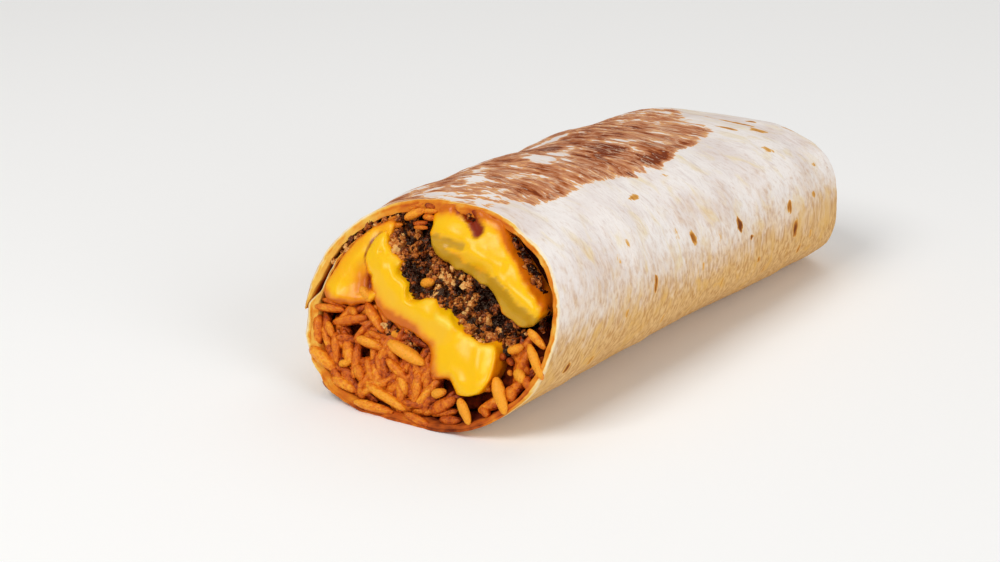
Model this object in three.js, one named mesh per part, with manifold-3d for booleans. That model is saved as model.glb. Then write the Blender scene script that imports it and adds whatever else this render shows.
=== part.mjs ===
// A filled flour tortilla roll, about 147 mm long. One end is cut open on a slant and shows the
// filling: rice at the bottom, crumbled beef across the middle and cheese sauce round both. The
// other end is tucked shut. Millimetres, +Z up. The roll lies along Y on a flat underside, its cut
// end towards -Y. The origin is under the middle of its bounding box, on the surface it lies on.
import * as THREE from "three";
import { mergeVertices } from "three/addons/utils/BufferGeometryUtils.js";
import Module from "manifold-3d";

const wasm = await Module();
wasm.setup();

const DEGREE = Math.PI / 180;

// ---- Driving dimensions of the roll ------------------------------------------------------------
const LENGTH = 134.3; // middle of the cut to the tucked end
const HALF_WIDTH = 31.7; // at the cut
const HALF_HEIGHT = 22.1; // at the cut, before the underside is flattened
const UNDERSIDE = 0.93; // share of the half height that is left under the middle
const SOFT_FROM = 0.75; // share of the half height below which the underside starts to flatten
const FLAT_FROM = 0.97; // and below which it is flat
const ROUNDNESS = 2.15; // exponent of the cut section's superellipse, 2 is an ellipse
const END_SQUARENESS = 3.2; // the same at the tucked end, where folding squares it up
const BULGE = 0.08; // the roll swells by this share halfway along
const WIDTH_LOSS = 0.035; // narrower by this share at the tucked end
const HEIGHT_LOSS = 0.22; // lower by this share at the tucked end
const DRIFT = 1.9; // how far the tucked end bends towards +X
const CUT_YAW = 4 * DEGREE; // the cut plane turned towards +X
const CUT_LEAN = 29.8 * DEGREE; // and leaning back at the top
const END_YAW = 6.6 * DEGREE; // the tucked end slants this much across
const CUT_FADE = 70; // how far along the roll its rings stay parallel to the cut
const MIDDLE_X = -0.3; // where the middle of the cut lies, from the middle of the bounding box
const MIDDLE_Y = -60.91;

// ---- The tortilla ------------------------------------------------------------------------------
const WALL = 2.2; // the outer layer
const FLAP = 1.5; // the inner flap, pressed thinner
const SLIT = 0.35; // between the two layers, deep inside
const SLIT_GAPE = 0.9; // how much wider it stands open at the cut
const SLIT_DEPTH = 30; // and how far in it narrows
const SEAM = 189 * DEGREE; // where the outer edge of the roll ends, from +X over the top
const SEAM_JOIN = 9 * DEGREE; // how far round from there the two layers are one
const SEAM_FADE = 12 * DEGREE; // how far round the slit opens from the seam
const FLAP_END = 122 * DEGREE; // where the inner flap ends
const FLAP_FADE = 20 * DEGREE; // how far round the slit opens from there
const STEP = 0.7; // height of the step on the skin at the seam
const LEDGE = 75 * DEGREE; // how far round the skin rises again below it
const TUCK = 13; // length of the tucked end's rounding
const TUCK_ACROSS = 1.75; // its exponent seen from above
const TUCK_UPRIGHT = 3.4; // and from the side: blunt
const TUCK_LIFT = 0.42; // share of its rounding that is on the underside
const TUCK_WALL = 6; // folded layers that close the end
const DIMPLE = 2.2; // depth of the hollow in the middle of the tucked end
const FOLD_DEPTH = 0.8; // height of the fold that winds into it
const FOLD_TURNS = 1.4;
const DIMPLE_FROM = 0.85; // share of the rounding past which it sinks in
const WAVE = 0.3; // height of the waves on the skin
const WAVE_FROM = 10; // how far from the cut they start
const WAVE_ALONG = 0.19; // how fast they follow one another along the roll

// ---- The filling -------------------------------------------------------------------------------
const NOSE_FROM = 14 * DEGREE; // how far round past the flap's end the filling keeps clear of it
const NOSE_FADE = 9 * DEGREE;
const GAP = 0.35; // clearance between neighbouring pieces
const WELD = 0.01; // edges shorter than this are closed up
const FILLING_END = LENGTH - TUCK - TUCK_WALL;
const OVERRUN = 1; // how far the cutters run past the filling's end
const RUN_UP = 8; // and start in front of the cut
const CHEESE_BULGE = 1.6; // how far the sauce stands out of the cut
const CHEESE_ROUND = 1.5; // how much of its front is rounded
const FOLD_BULGE = 0.4; // the same of the fold of cheese by the flap
const FOLD_ROUND = 0.8;
const BEEF_RECESS = 4.5; // how far the crumbled beef lies behind it
const SIDE_RECESS = 3;
const SIDE_ROUND = 0.4;
const RICE_RECESS = 1.8; // and the body of the rice, under its outermost grains
const HEAP_ROUND = 1; // how much of the front of the rice and the beef is rounded
const OUTLINE_STEP = 2.4; // between the points of a filling's smooth outline
const FILLING_STEPS = [8, 24, 44, 66, 90]; // where its rings lie
const GRAIN_LENGTH = 9.2;
const GRAIN_WIDTH = 3.1;
const GRAIN_SPACING = 4;
const GRAIN_MARGIN = 0.9; // from a grain's middle to what bounds the rice, at least
const GRAIN_PROUD = 0.4; // how far a grain's middle stands out of the rice, at least
const GRAIN_SPREAD = 1.6; // and how much further at most
const GRAIN_TILT = 0.5; // how far its ends lie in or out
const HEAP_SLOPE = -62 * DEGREE; // how steeply the grains lie in the heap,
const LOW_SLOPE = -18 * DEGREE; // along the bottom
const RIGHT_SLOPE = -50 * DEGREE; // and on the right
const SLOPE_SPREAD = 40 * DEGREE;
const LOW_RICE = 9; // the bottom grains lie below this height,
const HIGH_RICE = 14; // the top ones above this, left of the heap,
const HEAP_LEFT = -10; // which ends here
const HEAP_RIGHT = 10; // and here
const CRUMB_WIDTH = 3.4;
const CRUMB_SPACING = 3.5;
const CRUMB_MARGIN = 0.2;
const CRUMB_PROUD = 0.3; // how far a crumb's middle stands out of its heap, at least
const CRUMB_SPREAD = 0.9;
const CRUMB_RISE = 2.6; // how far crumbs stand out of their heap at most
const ROW_SPACING = 0.87; // between the rows of a scatter, as a share of the spacing in a row
const JITTER = 0.6; // how far a place in it strays, as a share of the spacing

// Outlines of the fillings in the cut, as [across, up] in the section at the cut.
const LOWER_CHEESE = [
  [-16.3, 34.8], [-13.4, 32.4], [-9.4, 27.8], [-6.6, 25.4], [-4.4, 22.8], [-1.4, 24], [1.4, 24.2],
  [5.6, 22], [9.5, 19.8], [15, 18.6], [18.6, 18.4], [20, 14], [18.8, 9.8], [15.6, 8], [12.2, 8.2],
  [10, 10.4], [7, 9.6], [4.6, 11], [3.2, 14.8], [-1.5, 16.8], [-9, 18.2], [-14.2, 21], [-17.2, 25],
  [-19.6, 29], [-18.8, 32.4],
];
const UPPER_CHEESE = [
  [-13, 38.6], [-7.5, 41], [-1, 42], [5, 41.6], [10.5, 40.2], [16, 35.8], [21.5, 31], [25.8, 27],
  [26, 24.4], [23.4, 22.6], [18.5, 23.6], [14.5, 26], [10, 28.8], [4.5, 30.2], [-0.5, 31],
  [-4.2, 33.4], [-7, 36.6],
];
const CHEESE_FOLD = [
  [-30, 20.6], [-28, 27], [-24, 33], [-18.5, 37.4], [-16.6, 36], [-19.6, 32.6], [-20.4, 28.8],
  [-17.6, 24.4], [-15.4, 21.2], [-17.6, 19.6], [-22.5, 18.8], [-27.5, 19.2],
];
const BEEF = [
  [-18, 38], [-12, 39], [-5, 34], [3, 31], [11, 29.4], [18, 24.6], [25.6, 21.6], [24.4, 17.4],
  [20, 17], [12, 19], [6, 21], [1, 23.5], [-5, 22.4], [-9, 27], [-14.6, 33.4],
];
const BEEF_SIDE = [
  [12.4, 40.4], [18, 38], [24, 33.4], [28.4, 28.4], [30, 22.6], [27.6, 23.4], [26, 28], [20, 33],
  [14, 37],
];
const RICE = [
  [-34, 19.4], [-26, 20], [-15, 23], [-6, 20], [6, 14], [17, 12], [19.5, 19], [25, 23.4],
  [34, 23.4], [34, 4], [20, -3], [-20, -3], [-34, 4],
];

// ---- The roll's form ---------------------------------------------------------------------------
const clamp = (v) => Math.min(Math.max(v, 0), 1);
const smooth = (v) => clamp(v) ** 2 * (3 - 2 * clamp(v));
const mix = THREE.MathUtils.lerp;

// The section at a distance y from the cut: half width, half height, the height of its middle,
// its shift across and its exponent.
function section(y) {
  const u = clamp(y / LENGTH);
  const swell = 1 + BULGE * Math.sin(Math.PI * u);
  const h = HALF_HEIGHT * (1 - HEIGHT_LOSS * u) * swell;
  return {
    w: HALF_WIDTH * (1 - WIDTH_LOSS * u) * swell,
    h,
    middle: h * UNDERSIDE,
    drift: DRIFT * smooth((u - 0.3) / 0.7),
    exponent: mix(ROUNDNESS, END_SQUARENESS, smooth((u - 0.4) / 0.6)),
  };
}

// Slides a point of a straight-cut roll along Y, so that its first ring lies in the slanted cut.
function slant(x, z, y) {
  const cut = 1 - smooth(y / CUT_FADE);
  const end = smooth((y - CUT_FADE) / (LENGTH - CUT_FADE));
  const lean = (z - section(y).middle) * Math.tan(CUT_LEAN);
  return y + cut * (x * Math.tan(CUT_YAW) + lean) + end * x * Math.tan(END_YAW);
}

// Flattens the lowest part of a unit section, gently towards its sides.
function flattened(s) {
  const k = clamp((-s - SOFT_FROM) / (FLAT_FROM - SOFT_FROM));
  const ease = (FLAT_FROM - SOFT_FROM) / (UNDERSIDE - SOFT_FROM);
  return k > 0 ? -SOFT_FROM - (UNDERSIDE - SOFT_FROM) * (1 - (1 - k) ** ease) : s;
}

// A point on the roll's skin, or at a depth under it: t round the section and y along the roll.
function skin(t, y, depth) {
  const { w, h, middle, drift, exponent } = section(y);
  const q = clamp((y - LENGTH + TUCK) / TUCK);
  const across = (1 - q ** TUCK_ACROSS) ** (1 / TUCK_ACROSS);
  const upright = (1 - q ** TUCK_UPRIGHT) ** (1 / TUCK_UPRIGHT);
  const c = Math.sign(Math.cos(t)) * Math.abs(Math.cos(t)) ** (2 / exponent);
  const s = Math.sign(Math.sin(t)) * Math.abs(Math.sin(t)) ** (2 / exponent);
  const x = c * (w - depth) * across;
  const drop = middle * (1 - upright) * (1 - TUCK_LIFT);
  const z = middle - drop + flattened(s) * (h - depth) * upright;
  return new THREE.Vector3(x + drift, slant(x, z, y), z);
}

// A point of the filling, from its place in the section at the cut and its distance along the roll.
function place(x, z, y) {
  const { w, h, middle } = section(y);
  const across = (x / HALF_WIDTH) * w;
  const up = middle + (z / HALF_HEIGHT - UNDERSIDE) * h;
  return new THREE.Vector3(across + section(y).drift, slant(across, up, y), up);
}

// ---- Solids ------------------------------------------------------------------------------------
// A manifold-3d solid from a closed geometry, turned inside out first if its faces point inwards.
function solid(geometry) {
  const bare = geometry.clone();
  bare.deleteAttribute("normal");
  bare.deleteAttribute("uv");
  const merged = mergeVertices(bare, 1e-4);
  const triVerts = new Uint32Array(merged.index.array);
  const vertProperties = merged.attributes.position.array;
  const build = () => new wasm.Manifold(new wasm.Mesh({ numProp: 3, vertProperties, triVerts }));
  const made = build();
  if (made.volume() > 0) return made;
  for (let i = 0; i < triVerts.length; i += 3) {
    [triVerts[i + 1], triVerts[i + 2]] = [triVerts[i + 2], triVerts[i + 1]];
  }
  return build();
}

// A closed solid from rings with equally many points, closed at both ends by the triangles of an
// outline with as many points.
function lofted(rings, outline = rings[0].map((p) => new THREE.Vector2(p.x, p.z))) {
  const n = outline.length;
  const index = [];
  rings.slice(1).forEach((_, r) => {
    for (let i = 0; i < n; i++) {
      const [a, b] = [r * n + i, r * n + ((i + 1) % n)];
      index.push(a, b, b + n, a, b + n, a + n);
    }
  });
  const last = (rings.length - 1) * n;
  const turned = THREE.ShapeUtils.isClockWise(outline);
  for (const [a, b, c] of THREE.ShapeUtils.triangulateShape(outline, [])) {
    index.push(...(turned ? [a, b, c] : [a, c, b]));
    index.push(...(turned ? [a, c, b] : [a, b, c]).map((i) => i + last));
  }
  const position = rings.flat().flatMap((p) => [p.x, p.y, p.z]);
  return solid(new THREE.BufferGeometry()
    .setAttribute("position", new THREE.Float32BufferAttribute(position, 3))
    .setIndex(index));
}

// An outline's points moved outwards by a distance, or inwards if it is negative.
function offset(outline, distance) {
  const side = THREE.ShapeUtils.isClockWise(outline) ? -distance : distance;
  return outline.map((point, i) => {
    const before = outline.at(i - 1);
    const after = outline[(i + 1) % outline.length];
    const normal = new THREE.Vector2(after.y - before.y, before.x - after.x).normalize();
    return normal.multiplyScalar(side).add(point);
  });
}

const range = (n, f) => Array.from({ length: n }, (_, i) => f(i));

// ---- Tortilla ----------------------------------------------------------------------------------
const OUTER_POINTS = 56;
const WALL_POINTS = 36;
const FLAP_POINTS = 7;

// How far a layer steps in before it runs under the seam, where it has come in by a height.
const ledge = (t, height) => height * smooth((SEAM - 2 * Math.PI + LEDGE - t) / LEDGE);

// How wide the slit between the outer layer and the flap is.
function slit(t, y) {
  const open = smooth((SEAM - t) / SEAM_FADE) * smooth((t - FLAP_END) / FLAP_FADE);
  return SLIT + SLIT_GAPE * open * (1 - smooth(y / SLIT_DEPTH));
}

// Low waves round and along the skin, none of them on the underside or at the cut.
function wave(t, y) {
  const fade = smooth((Math.sin(t) + 0.8) / 0.5) * smooth(y / WAVE_FROM);
  const along = y * WAVE_ALONG;
  return WAVE * fade * (Math.sin(along + 1.4 * Math.sin(2 * t)) + Math.sin(0.4 * along + 3 * t));
}

// The tucked end: a fold winds into the dimple in its middle.
function tucked(point, t, q) {
  const turn = t + 2 * Math.PI * FOLD_TURNS * q ** 3;
  const fold = FOLD_DEPTH * Math.sin(turn) * smooth(q * 2) * (1 - q ** 8);
  point.y -= fold + DIMPLE * smooth((q - DIMPLE_FROM) / (1 - DIMPLE_FROM));
  return point;
}

function outerRing(y) {
  const q = clamp((y - LENGTH + TUCK) / TUCK);
  return range(OUTER_POINTS, (i) => {
    const t = SEAM - (2 * Math.PI * i) / (OUTER_POINTS - 1);
    const inset = ledge(t, STEP) * (1 - smooth(q)) - wave(t, y) * (1 - q);
    return tucked(skin(t, y, inset), t, q);
  });
}

// The inner side of the roll: the wall, then the flap that lies inside it.
function innerDepth(t, y) {
  const under = t + 2 * Math.PI;
  return t > SEAM - 2 * Math.PI ? WALL + ledge(t, SLIT + FLAP) : WALL + slit(under, y) + FLAP;
}

function hollowRing(y) {
  const turn = (2 * Math.PI) / (WALL_POINTS - 1);
  const closed = SEAM - SEAM_JOIN;
  const step = (closed - FLAP_END) / FLAP_POINTS;
  const roof = range(FLAP_POINTS, (i) => skin(closed - i * step, y, WALL));
  const wall = range(WALL_POINTS, (i) => skin(FLAP_END - i * turn, y, innerDepth(FLAP_END - i * turn, y)));
  const back = range(FLAP_POINTS, (i) => {
    const t = FLAP_END + (i + 0.4) * step;
    return skin(t, y, WALL + slit(t, y));
  });
  return [...roof, ...wall, ...back];
}

const BODY_STEPS = 20;
const TUCK_STEPS = [0.3, 0.55, 0.75, 0.88, 0.95, 0.985, 0.999]; // shares of the tucked end
const outerSteps = [
  ...range(BODY_STEPS + 1, (i) => ((LENGTH - TUCK) * i) / BODY_STEPS),
  ...TUCK_STEPS.map((q) => LENGTH - TUCK + TUCK * q),
];
const hollowSteps = [-RUN_UP, 0, ...FILLING_STEPS, FILLING_END + OVERRUN];
const tortilla = lofted(outerSteps.map(outerRing)).subtract(lofted(hollowSteps.map(hollowRing)));

// ---- Filling -----------------------------------------------------------------------------------
// The room inside the roll that the filling may take, clear of its wall and of the flap.
function roomRing(y) {
  const turn = (2 * Math.PI) / WALL_POINTS;
  return range(WALL_POINTS, (i) => {
    const t = FLAP_END - 0.5 * turn - i * turn;
    const nose = smooth((t - FLAP_END + NOSE_FROM) / NOSE_FADE);
    const flap = WALL + slit(t, y) + FLAP;
    return skin(t, y, Math.max(innerDepth(t, y), mix(WALL, flap, nose)) + GAP);
  });
}

const room = lofted(hollowSteps.slice(0, -1).concat(FILLING_END).map(roomRing));

// A filling that runs through the roll: its outline in the cut, drawn from a smooth curve, with a
// rounded front at a distance from the cut, kept inside the room. Grown, it is a cutter.
function strand(outline, front, round, grow = 0) {
  const corners = outline.map(([x, z]) => new THREE.Vector3(x, z, 0));
  const curve = new THREE.CatmullRomCurve3(corners, true);
  const count = Math.round(curve.getLength() / OUTLINE_STEP);
  const points = curve.getSpacedPoints(count).slice(1).map((p) => new THREE.Vector2(p.x, p.y));
  const nose = [0, 0.3, 1].map((k) => [front - grow + round * k, grow - round * (1 - k) ** 1.6]);
  const body = [...FILLING_STEPS, FILLING_END + OVERRUN].map((y) => [y, grow]);
  const rings = [...nose, ...body].map(([y, out]) => offset(points, out).map((p) => place(p.x, p.y, y)));
  return lofted(rings, points);
}

// A seeded generator of draws between 0 and 1 (mulberry32).
function seeded(seed) {
  let state = seed;
  return () => {
    state = (state + 0x6d2b79f5) | 0;
    let k = Math.imul(state ^ (state >>> 15), 1 | state);
    k = (k + Math.imul(k ^ (k >>> 7), 61 | k)) ^ k;
    return ((k ^ (k >>> 14)) >>> 0) / 4294967296;
  };
}

const roll = new THREE.Group();
roll.position.set(MIDDLE_X, MIDDLE_Y, 0);

// Adds a solid's largest body to the roll as a named mesh.
function addMesh(name, made, color, roughness) {
  const body = made.setTolerance(WELD).decompose().sort((a, b) => b.volume() - a.volume())[0];
  const { vertProperties, triVerts, numProp } = body.getMesh();
  const position = new Float32Array((vertProperties.length / numProp) * 3);
  for (let i = 0; i < position.length / 3; i++) {
    position.set(vertProperties.subarray(i * numProp, i * numProp + 3), i * 3);
  }
  const geometry = new THREE.BufferGeometry()
    .setAttribute("position", new THREE.BufferAttribute(position, 3))
    .setIndex(new THREE.BufferAttribute(triVerts, 1));
  geometry.computeVertexNormals();
  const look = new THREE.MeshStandardMaterial({ color, roughness, metalness: 0 });
  const mesh = new THREE.Mesh(geometry, look);
  mesh.name = name;
  roll.add(mesh);
}

// How far a place in the cut lies inside an outline, negative outside it.
function depthInside(outline, x, z) {
  let inside = false;
  let nearest = Infinity;
  outline.forEach(([ax, az], i) => {
    const [bx, bz] = outline.at(i - 1);
    if (az > z !== bz > z && x < ax + ((z - az) / (bz - az)) * (bx - ax)) inside = !inside;
    const k = clamp(((x - ax) * (bx - ax) + (z - az) * (bz - az)) / ((bx - ax) ** 2 + (bz - az) ** 2));
    nearest = Math.min(nearest, Math.hypot(x - ax - k * (bx - ax), z - az - k * (bz - az)));
  });
  return inside ? nearest : -nearest;
}

// Places spread over the cut on a jittered grid, where the room and an outline hold them and the
// outlines in front leave them free.
function scattered(outline, covers, spacing, margin, random) {
  const wall = roomRing(0).map((p) => [p.x, p.z]);
  const places = [];
  const stray = () => (random() - 0.5) * spacing * JITTER;
  const rows = Math.floor((2 * HALF_HEIGHT) / (spacing * ROW_SPACING));
  for (let row = 0; row < rows; row++) {
    const z = spacing * (0.5 + row * ROW_SPACING);
    const shift = (row % 2) * 0.5 * spacing;
    for (let x = shift - HALF_WIDTH; x < HALF_WIDTH; x += spacing) {
      const spot = [x + stray(), z + stray()];
      const held = Math.min(depthInside(outline, ...spot), depthInside(wall, ...spot));
      const covered = Math.max(...covers.map((cover) => depthInside(cover, ...spot)));
      if (held > margin && covered < -margin) places.push(spot);
    }
  }
  return places;
}

// A rice grain with six sides, lying along a direction, about the origin.
function grainGeometry(length, width, direction) {
  const profile = [[0, -0.5], [0.39, -0.34], [0.5, 0], [0.39, 0.34], [0, 0.5]];
  const outline = profile.map(([r, y]) => new THREE.Vector2(r * width, y * length));
  const turn = new THREE.Quaternion().setFromUnitVectors(new THREE.Vector3(0, 1, 0), direction);
  return new THREE.LatheGeometry(outline, 6).applyQuaternion(turn);
}

// The way the grains lie: steep in the heap, level at its top on the left, and along the wall at
// the bottom, where they climb again on the right.
function grainAngle(x, z, random) {
  const low = smooth((LOW_RICE - z) / 5);
  const top = smooth((z - HIGH_RICE) / 3) * smooth((HEAP_LEFT - x) / 4);
  const along = x > HEAP_RIGHT ? RIGHT_SLOPE : LOW_SLOPE;
  return mix(mix(HEAP_SLOPE, 0, top), along, low) + (random() - 0.5) * SLOPE_SPREAD;
}

const CHEESES = [
  strand(LOWER_CHEESE, -CHEESE_BULGE, CHEESE_ROUND, GAP),
  strand(UPPER_CHEESE, -CHEESE_BULGE, CHEESE_ROUND, GAP),
  strand(CHEESE_FOLD, -FOLD_BULGE, FOLD_ROUND, GAP),
];
const MEATS = [
  strand(BEEF, BEEF_RECESS - CRUMB_RISE, HEAP_ROUND, GAP),
  strand(BEEF_SIDE, SIDE_RECESS - CRUMB_RISE, SIDE_ROUND, GAP),
];
const without = (made, cutters) => cutters.reduce((left, cutter) => left.subtract(cutter), made);

function rice() {
  const random = seeded(11);
  const covers = [LOWER_CHEESE, UPPER_CHEESE, CHEESE_FOLD, BEEF];
  let heap = strand(RICE, RICE_RECESS, HEAP_ROUND);
  for (const [x, z] of scattered(RICE, covers, GRAIN_SPACING, GRAIN_MARGIN, random)) {
    const angle = grainAngle(x, z, random);
    const y = RICE_RECESS - GRAIN_PROUD - random() * GRAIN_SPREAD;
    const middle = place(x, z, y);
    const tilt = (random() - 0.5) * GRAIN_TILT;
    const direction = place(x + Math.cos(angle), z + Math.sin(angle), y + tilt).sub(middle).normalize();
    const length = GRAIN_LENGTH * (0.85 + 0.25 * random());
    const grain = grainGeometry(length, GRAIN_WIDTH * (0.9 + 0.2 * random()), direction);
    heap = heap.add(solid(grain.translate(...middle)));
  }
  return without(heap.intersect(room), [...CHEESES, ...MEATS]);
}

function crumbled(outline, recess, round, covers, seed) {
  const random = seeded(seed);
  let heap = strand(outline, recess, round);
  for (const [x, z] of scattered(outline, covers, CRUMB_SPACING, CRUMB_MARGIN, random)) {
    const crumb = new THREE.IcosahedronGeometry((CRUMB_WIDTH / 2) * (0.7 + 0.5 * random()), 0)
      .rotateX(random() * Math.PI)
      .rotateZ(random() * Math.PI)
      .translate(...place(x, z, recess - CRUMB_PROUD - random() * CRUMB_SPREAD));
    heap = heap.add(solid(crumb));
  }
  const kept = strand(outline, recess - CRUMB_RISE, round).intersect(room);
  return without(heap.intersect(kept), CHEESES);
}

addMesh("tortilla", tortilla, "#e8dccb", 0.8);
addMesh("rice", rice(), "#dc7a26", 0.5);
const beef = crumbled(BEEF, BEEF_RECESS, HEAP_ROUND, [LOWER_CHEESE, UPPER_CHEESE], 5);
const beefSide = crumbled(BEEF_SIDE, SIDE_RECESS, SIDE_ROUND, [UPPER_CHEESE], 8);
const lower = strand(LOWER_CHEESE, -CHEESE_BULGE, CHEESE_ROUND).intersect(room);
const upper = strand(UPPER_CHEESE, -CHEESE_BULGE, CHEESE_ROUND).intersect(room);
const fold = strand(CHEESE_FOLD, -FOLD_BULGE, FOLD_ROUND).intersect(room);
addMesh("beef", beef, "#6b3a1e", 0.6);
addMesh("beef_side", beefSide, "#6b3a1e", 0.6);
addMesh("cheese_lower", lower, "#fcc512", 0.25);
addMesh("cheese_upper", upper.subtract(CHEESES[0]), "#fcc512", 0.25);
addMesh("cheese_fold", fold.subtract(CHEESES[0]), "#f6b61c", 0.3);

export default roll;
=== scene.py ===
# A burrito: a flour tortilla rolled round rice, crumbled beef and cheese sauce, its near end cut
# open on a slant and its far end tucked shut. Sizes are in millimetres and become metres where a
# mesh is made. The pieces follow one another as the burrito is rolled: tortilla, rice, beef, cheese.
import math
import random

import bpy
import numpy as np
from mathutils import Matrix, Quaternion, Vector, noise


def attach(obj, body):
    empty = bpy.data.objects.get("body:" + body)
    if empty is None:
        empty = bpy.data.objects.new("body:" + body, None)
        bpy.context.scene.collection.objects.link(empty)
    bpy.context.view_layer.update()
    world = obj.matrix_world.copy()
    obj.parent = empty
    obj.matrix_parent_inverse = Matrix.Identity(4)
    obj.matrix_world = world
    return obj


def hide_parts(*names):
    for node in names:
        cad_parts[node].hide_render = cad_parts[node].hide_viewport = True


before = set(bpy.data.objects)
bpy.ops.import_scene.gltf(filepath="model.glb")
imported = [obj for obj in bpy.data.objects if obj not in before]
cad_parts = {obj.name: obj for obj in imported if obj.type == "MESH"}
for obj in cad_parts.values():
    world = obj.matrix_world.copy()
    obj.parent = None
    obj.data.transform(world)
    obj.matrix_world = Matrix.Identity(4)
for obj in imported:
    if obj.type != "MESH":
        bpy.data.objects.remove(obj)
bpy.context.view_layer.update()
MM = 0.001

# ---- Tortilla ----
# A wheat flour tortilla about 2 mm thick, griddled brown on the side that is now on top. It is one
# sheet, rolled once round the filling with its outer edge lapped over the start of the sheet, and
# its far end is tucked in. The sheet is a grid that is rolled up, closed at the cut and merged.
DEGREE = math.pi / 180
FULL_TURN = 2 * math.pi
LENGTH = 134.3  # middle of the cut to the tucked end
HALF_WIDTH = 31.7
HALF_HEIGHT = 22.1
UNDERSIDE = 0.93  # share of the half height left under the middle
SOFT_FROM = 0.75  # and the share below which the underside flattens
FLAT_FROM = 0.97  # until it is flat
ROUNDNESS = 2.15  # power of the section's curve at the cut, where 2 is an ellipse
END_SQUARENESS = 3.2  # and at the tucked end
SQUARER_FROM = 0.4  # share of the length where the change starts
BULGE = 0.08  # how much fatter the roll is halfway
WIDTH_LOSS = 0.035  # how much narrower it is at the tucked end
HEIGHT_LOSS = 0.22
DRIFT = 1.9  # how far it bends to the right
DRIFT_FROM = 0.3  # share of the length where that starts
CUT_YAW = 4 * DEGREE
CUT_LEAN = 29.8 * DEGREE
END_YAW = 6.6 * DEGREE
CUT_FADE = 70  # how deep the section still leans as the cut does
MIDDLE_X = -0.3  # the middle of the cut
MIDDLE_Y = -60.91

WALL = 2.2  # the outer layer
FLAP = 1.5  # the start of the sheet, inside
SLIT = 0.35  # between the two
SLIT_GAPE = 0.9  # how much wider the slit is at the cut
SLIT_DEPTH = 30  # and how deep that reaches
SEAM_CLOSING = 12 * DEGREE  # turn in which the gape closes at the seam
START_CLOSING = 20 * DEGREE  # and at the sheet's start
SEAM = 189 * DEGREE  # where the sheet's outer edge lies, from +X over the top
FLAP_END = 122 * DEGREE  # where the sheet starts inside
LEDGE = 75 * DEGREE  # turn over which the sheet steps in before its own outer edge
STEP = 0.7  # and how far
OUTER_DIVE = 10 * DEGREE  # turn in which its outer side goes under that edge
INNER_DIVE = 2 * DEGREE
EDGE_THINNING = 1.6  # how much thinner the sheet's outer edge is
EDGE_TAPER = 18 * DEGREE  # turn in which it thins
EDGE_SUPPLE = 12 * DEGREE  # turn in which its inner side takes up the waves
TUCK = 13
TUCK_ACROSS = 1.75  # power of the tuck's curve seen from above
TUCK_UPRIGHT = 3.4  # and seen from the side
TUCK_LIFT = 0.42  # share of the middle's height at which it closes
TUCK_WALL = 6  # thickness of its folds
DIMPLE = 2.2  # its depth in the middle of the end
DIMPLE_WIDTH = 0.15  # as a share of the tuck
FOLD_DEPTH = 2.2
FOLD_TURNS = 1.6  # of the spiral that the folds make
LIP_EDGE = 0.04  # share of a turn in which a fold steps down to the next
LIP_SLOPE = 0.7  # and in which it rises again
PLEATS = 0.3
WAVE = 0.3  # height of the skin's waves
LONG_WAVE = 0.07  # radians for each millimetre along the roll
SHORT_WAVE = 0.19
RIM_ROUND = 0.25  # rounding of the cut edge
EDGE_ROUND = 1.3 * DEGREE  # and of the sheet's two long edges

OUTSIDE_COLUMNS = 290
INSIDE_COLUMNS = 160
EDGE_COLUMNS = 4
FACE_ROWS = 3  # on the cut edge of the sheet
FACE_REACH = 0.8  # how far they go towards the middle of it
RIM_ROWS = 4
BODY_ROWS = 150
BODY_CROWDING = 1.12  # how much closer together they lie near the cut
TUCK_ROWS = 46


def smooth(v):
    v = np.clip(v, 0, 1)
    return v * v * (3 - 2 * v)


def mix(a, b, k):
    return a + (b - a) * k


def section(y):
    """Half width, half height, shift across and squareness of the roll at a distance from the cut."""
    u = np.clip(y / LENGTH, 0, 1)
    swell = 1 + BULGE * np.sin(np.pi * u)
    width = HALF_WIDTH * (1 - WIDTH_LOSS * u) * swell
    height = HALF_HEIGHT * (1 - HEIGHT_LOSS * u) * swell
    squareness = mix(ROUNDNESS, END_SQUARENESS, smooth((u - SQUARER_FROM) / (1 - SQUARER_FROM)))
    return width, height, DRIFT * smooth((u - DRIFT_FROM) / (1 - DRIFT_FROM)), squareness


def slant(x, z, y):
    """Where a point of a straight-cut roll lies along Y, with the cut leaning back."""
    cut = 1 - smooth(y / CUT_FADE)
    end = smooth((y - CUT_FADE) / (LENGTH - CUT_FADE))
    lean = (z - section(y)[1] * UNDERSIDE) * math.tan(CUT_LEAN)
    return y + cut * (x * math.tan(CUT_YAW) + lean) + end * x * math.tan(END_YAW)


def flattened(s):
    """A height from the middle, as a share of the half height, with the underside pressed flat."""
    k = np.clip((-s - SOFT_FROM) / (FLAT_FROM - SOFT_FROM), 0, 1)
    ease = (FLAT_FROM - SOFT_FROM) / (UNDERSIDE - SOFT_FROM)
    return np.where(k > 0, -SOFT_FROM - (UNDERSIDE - SOFT_FROM) * (1 - (1 - k) ** ease), s)


def signed_power(v, power):
    return np.sign(v) * np.abs(v) ** power


def tucked(y, end=LENGTH):
    """How far into the tuck a place along the roll is, from 0 where it starts to 1 at its end."""
    return np.clip((y - end + TUCK) / TUCK, 0, 1)


def closing(y, power, end=LENGTH):
    """How much of the section is left there."""
    return (1 - tucked(y, end) ** power) ** (1 / power)


def skin(turn, y, depth, end=LENGTH):
    """Points on the roll's skin, or at a depth under it, with the tuck ending at a length."""
    width, height, drift, squareness = section(y)
    middle = height * UNDERSIDE
    across, upright = closing(y, TUCK_ACROSS, end), closing(y, TUCK_UPRIGHT, end)
    x = signed_power(np.cos(turn), 2 / squareness) * (width - depth) * across
    drop = middle * (1 - upright) * (1 - TUCK_LIFT)
    up = flattened(signed_power(np.sin(turn), 2 / squareness)) * (height - depth) * upright
    z = middle - drop + up
    return np.stack([x + drift, slant(x, z, y), z], axis=-1)


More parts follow.
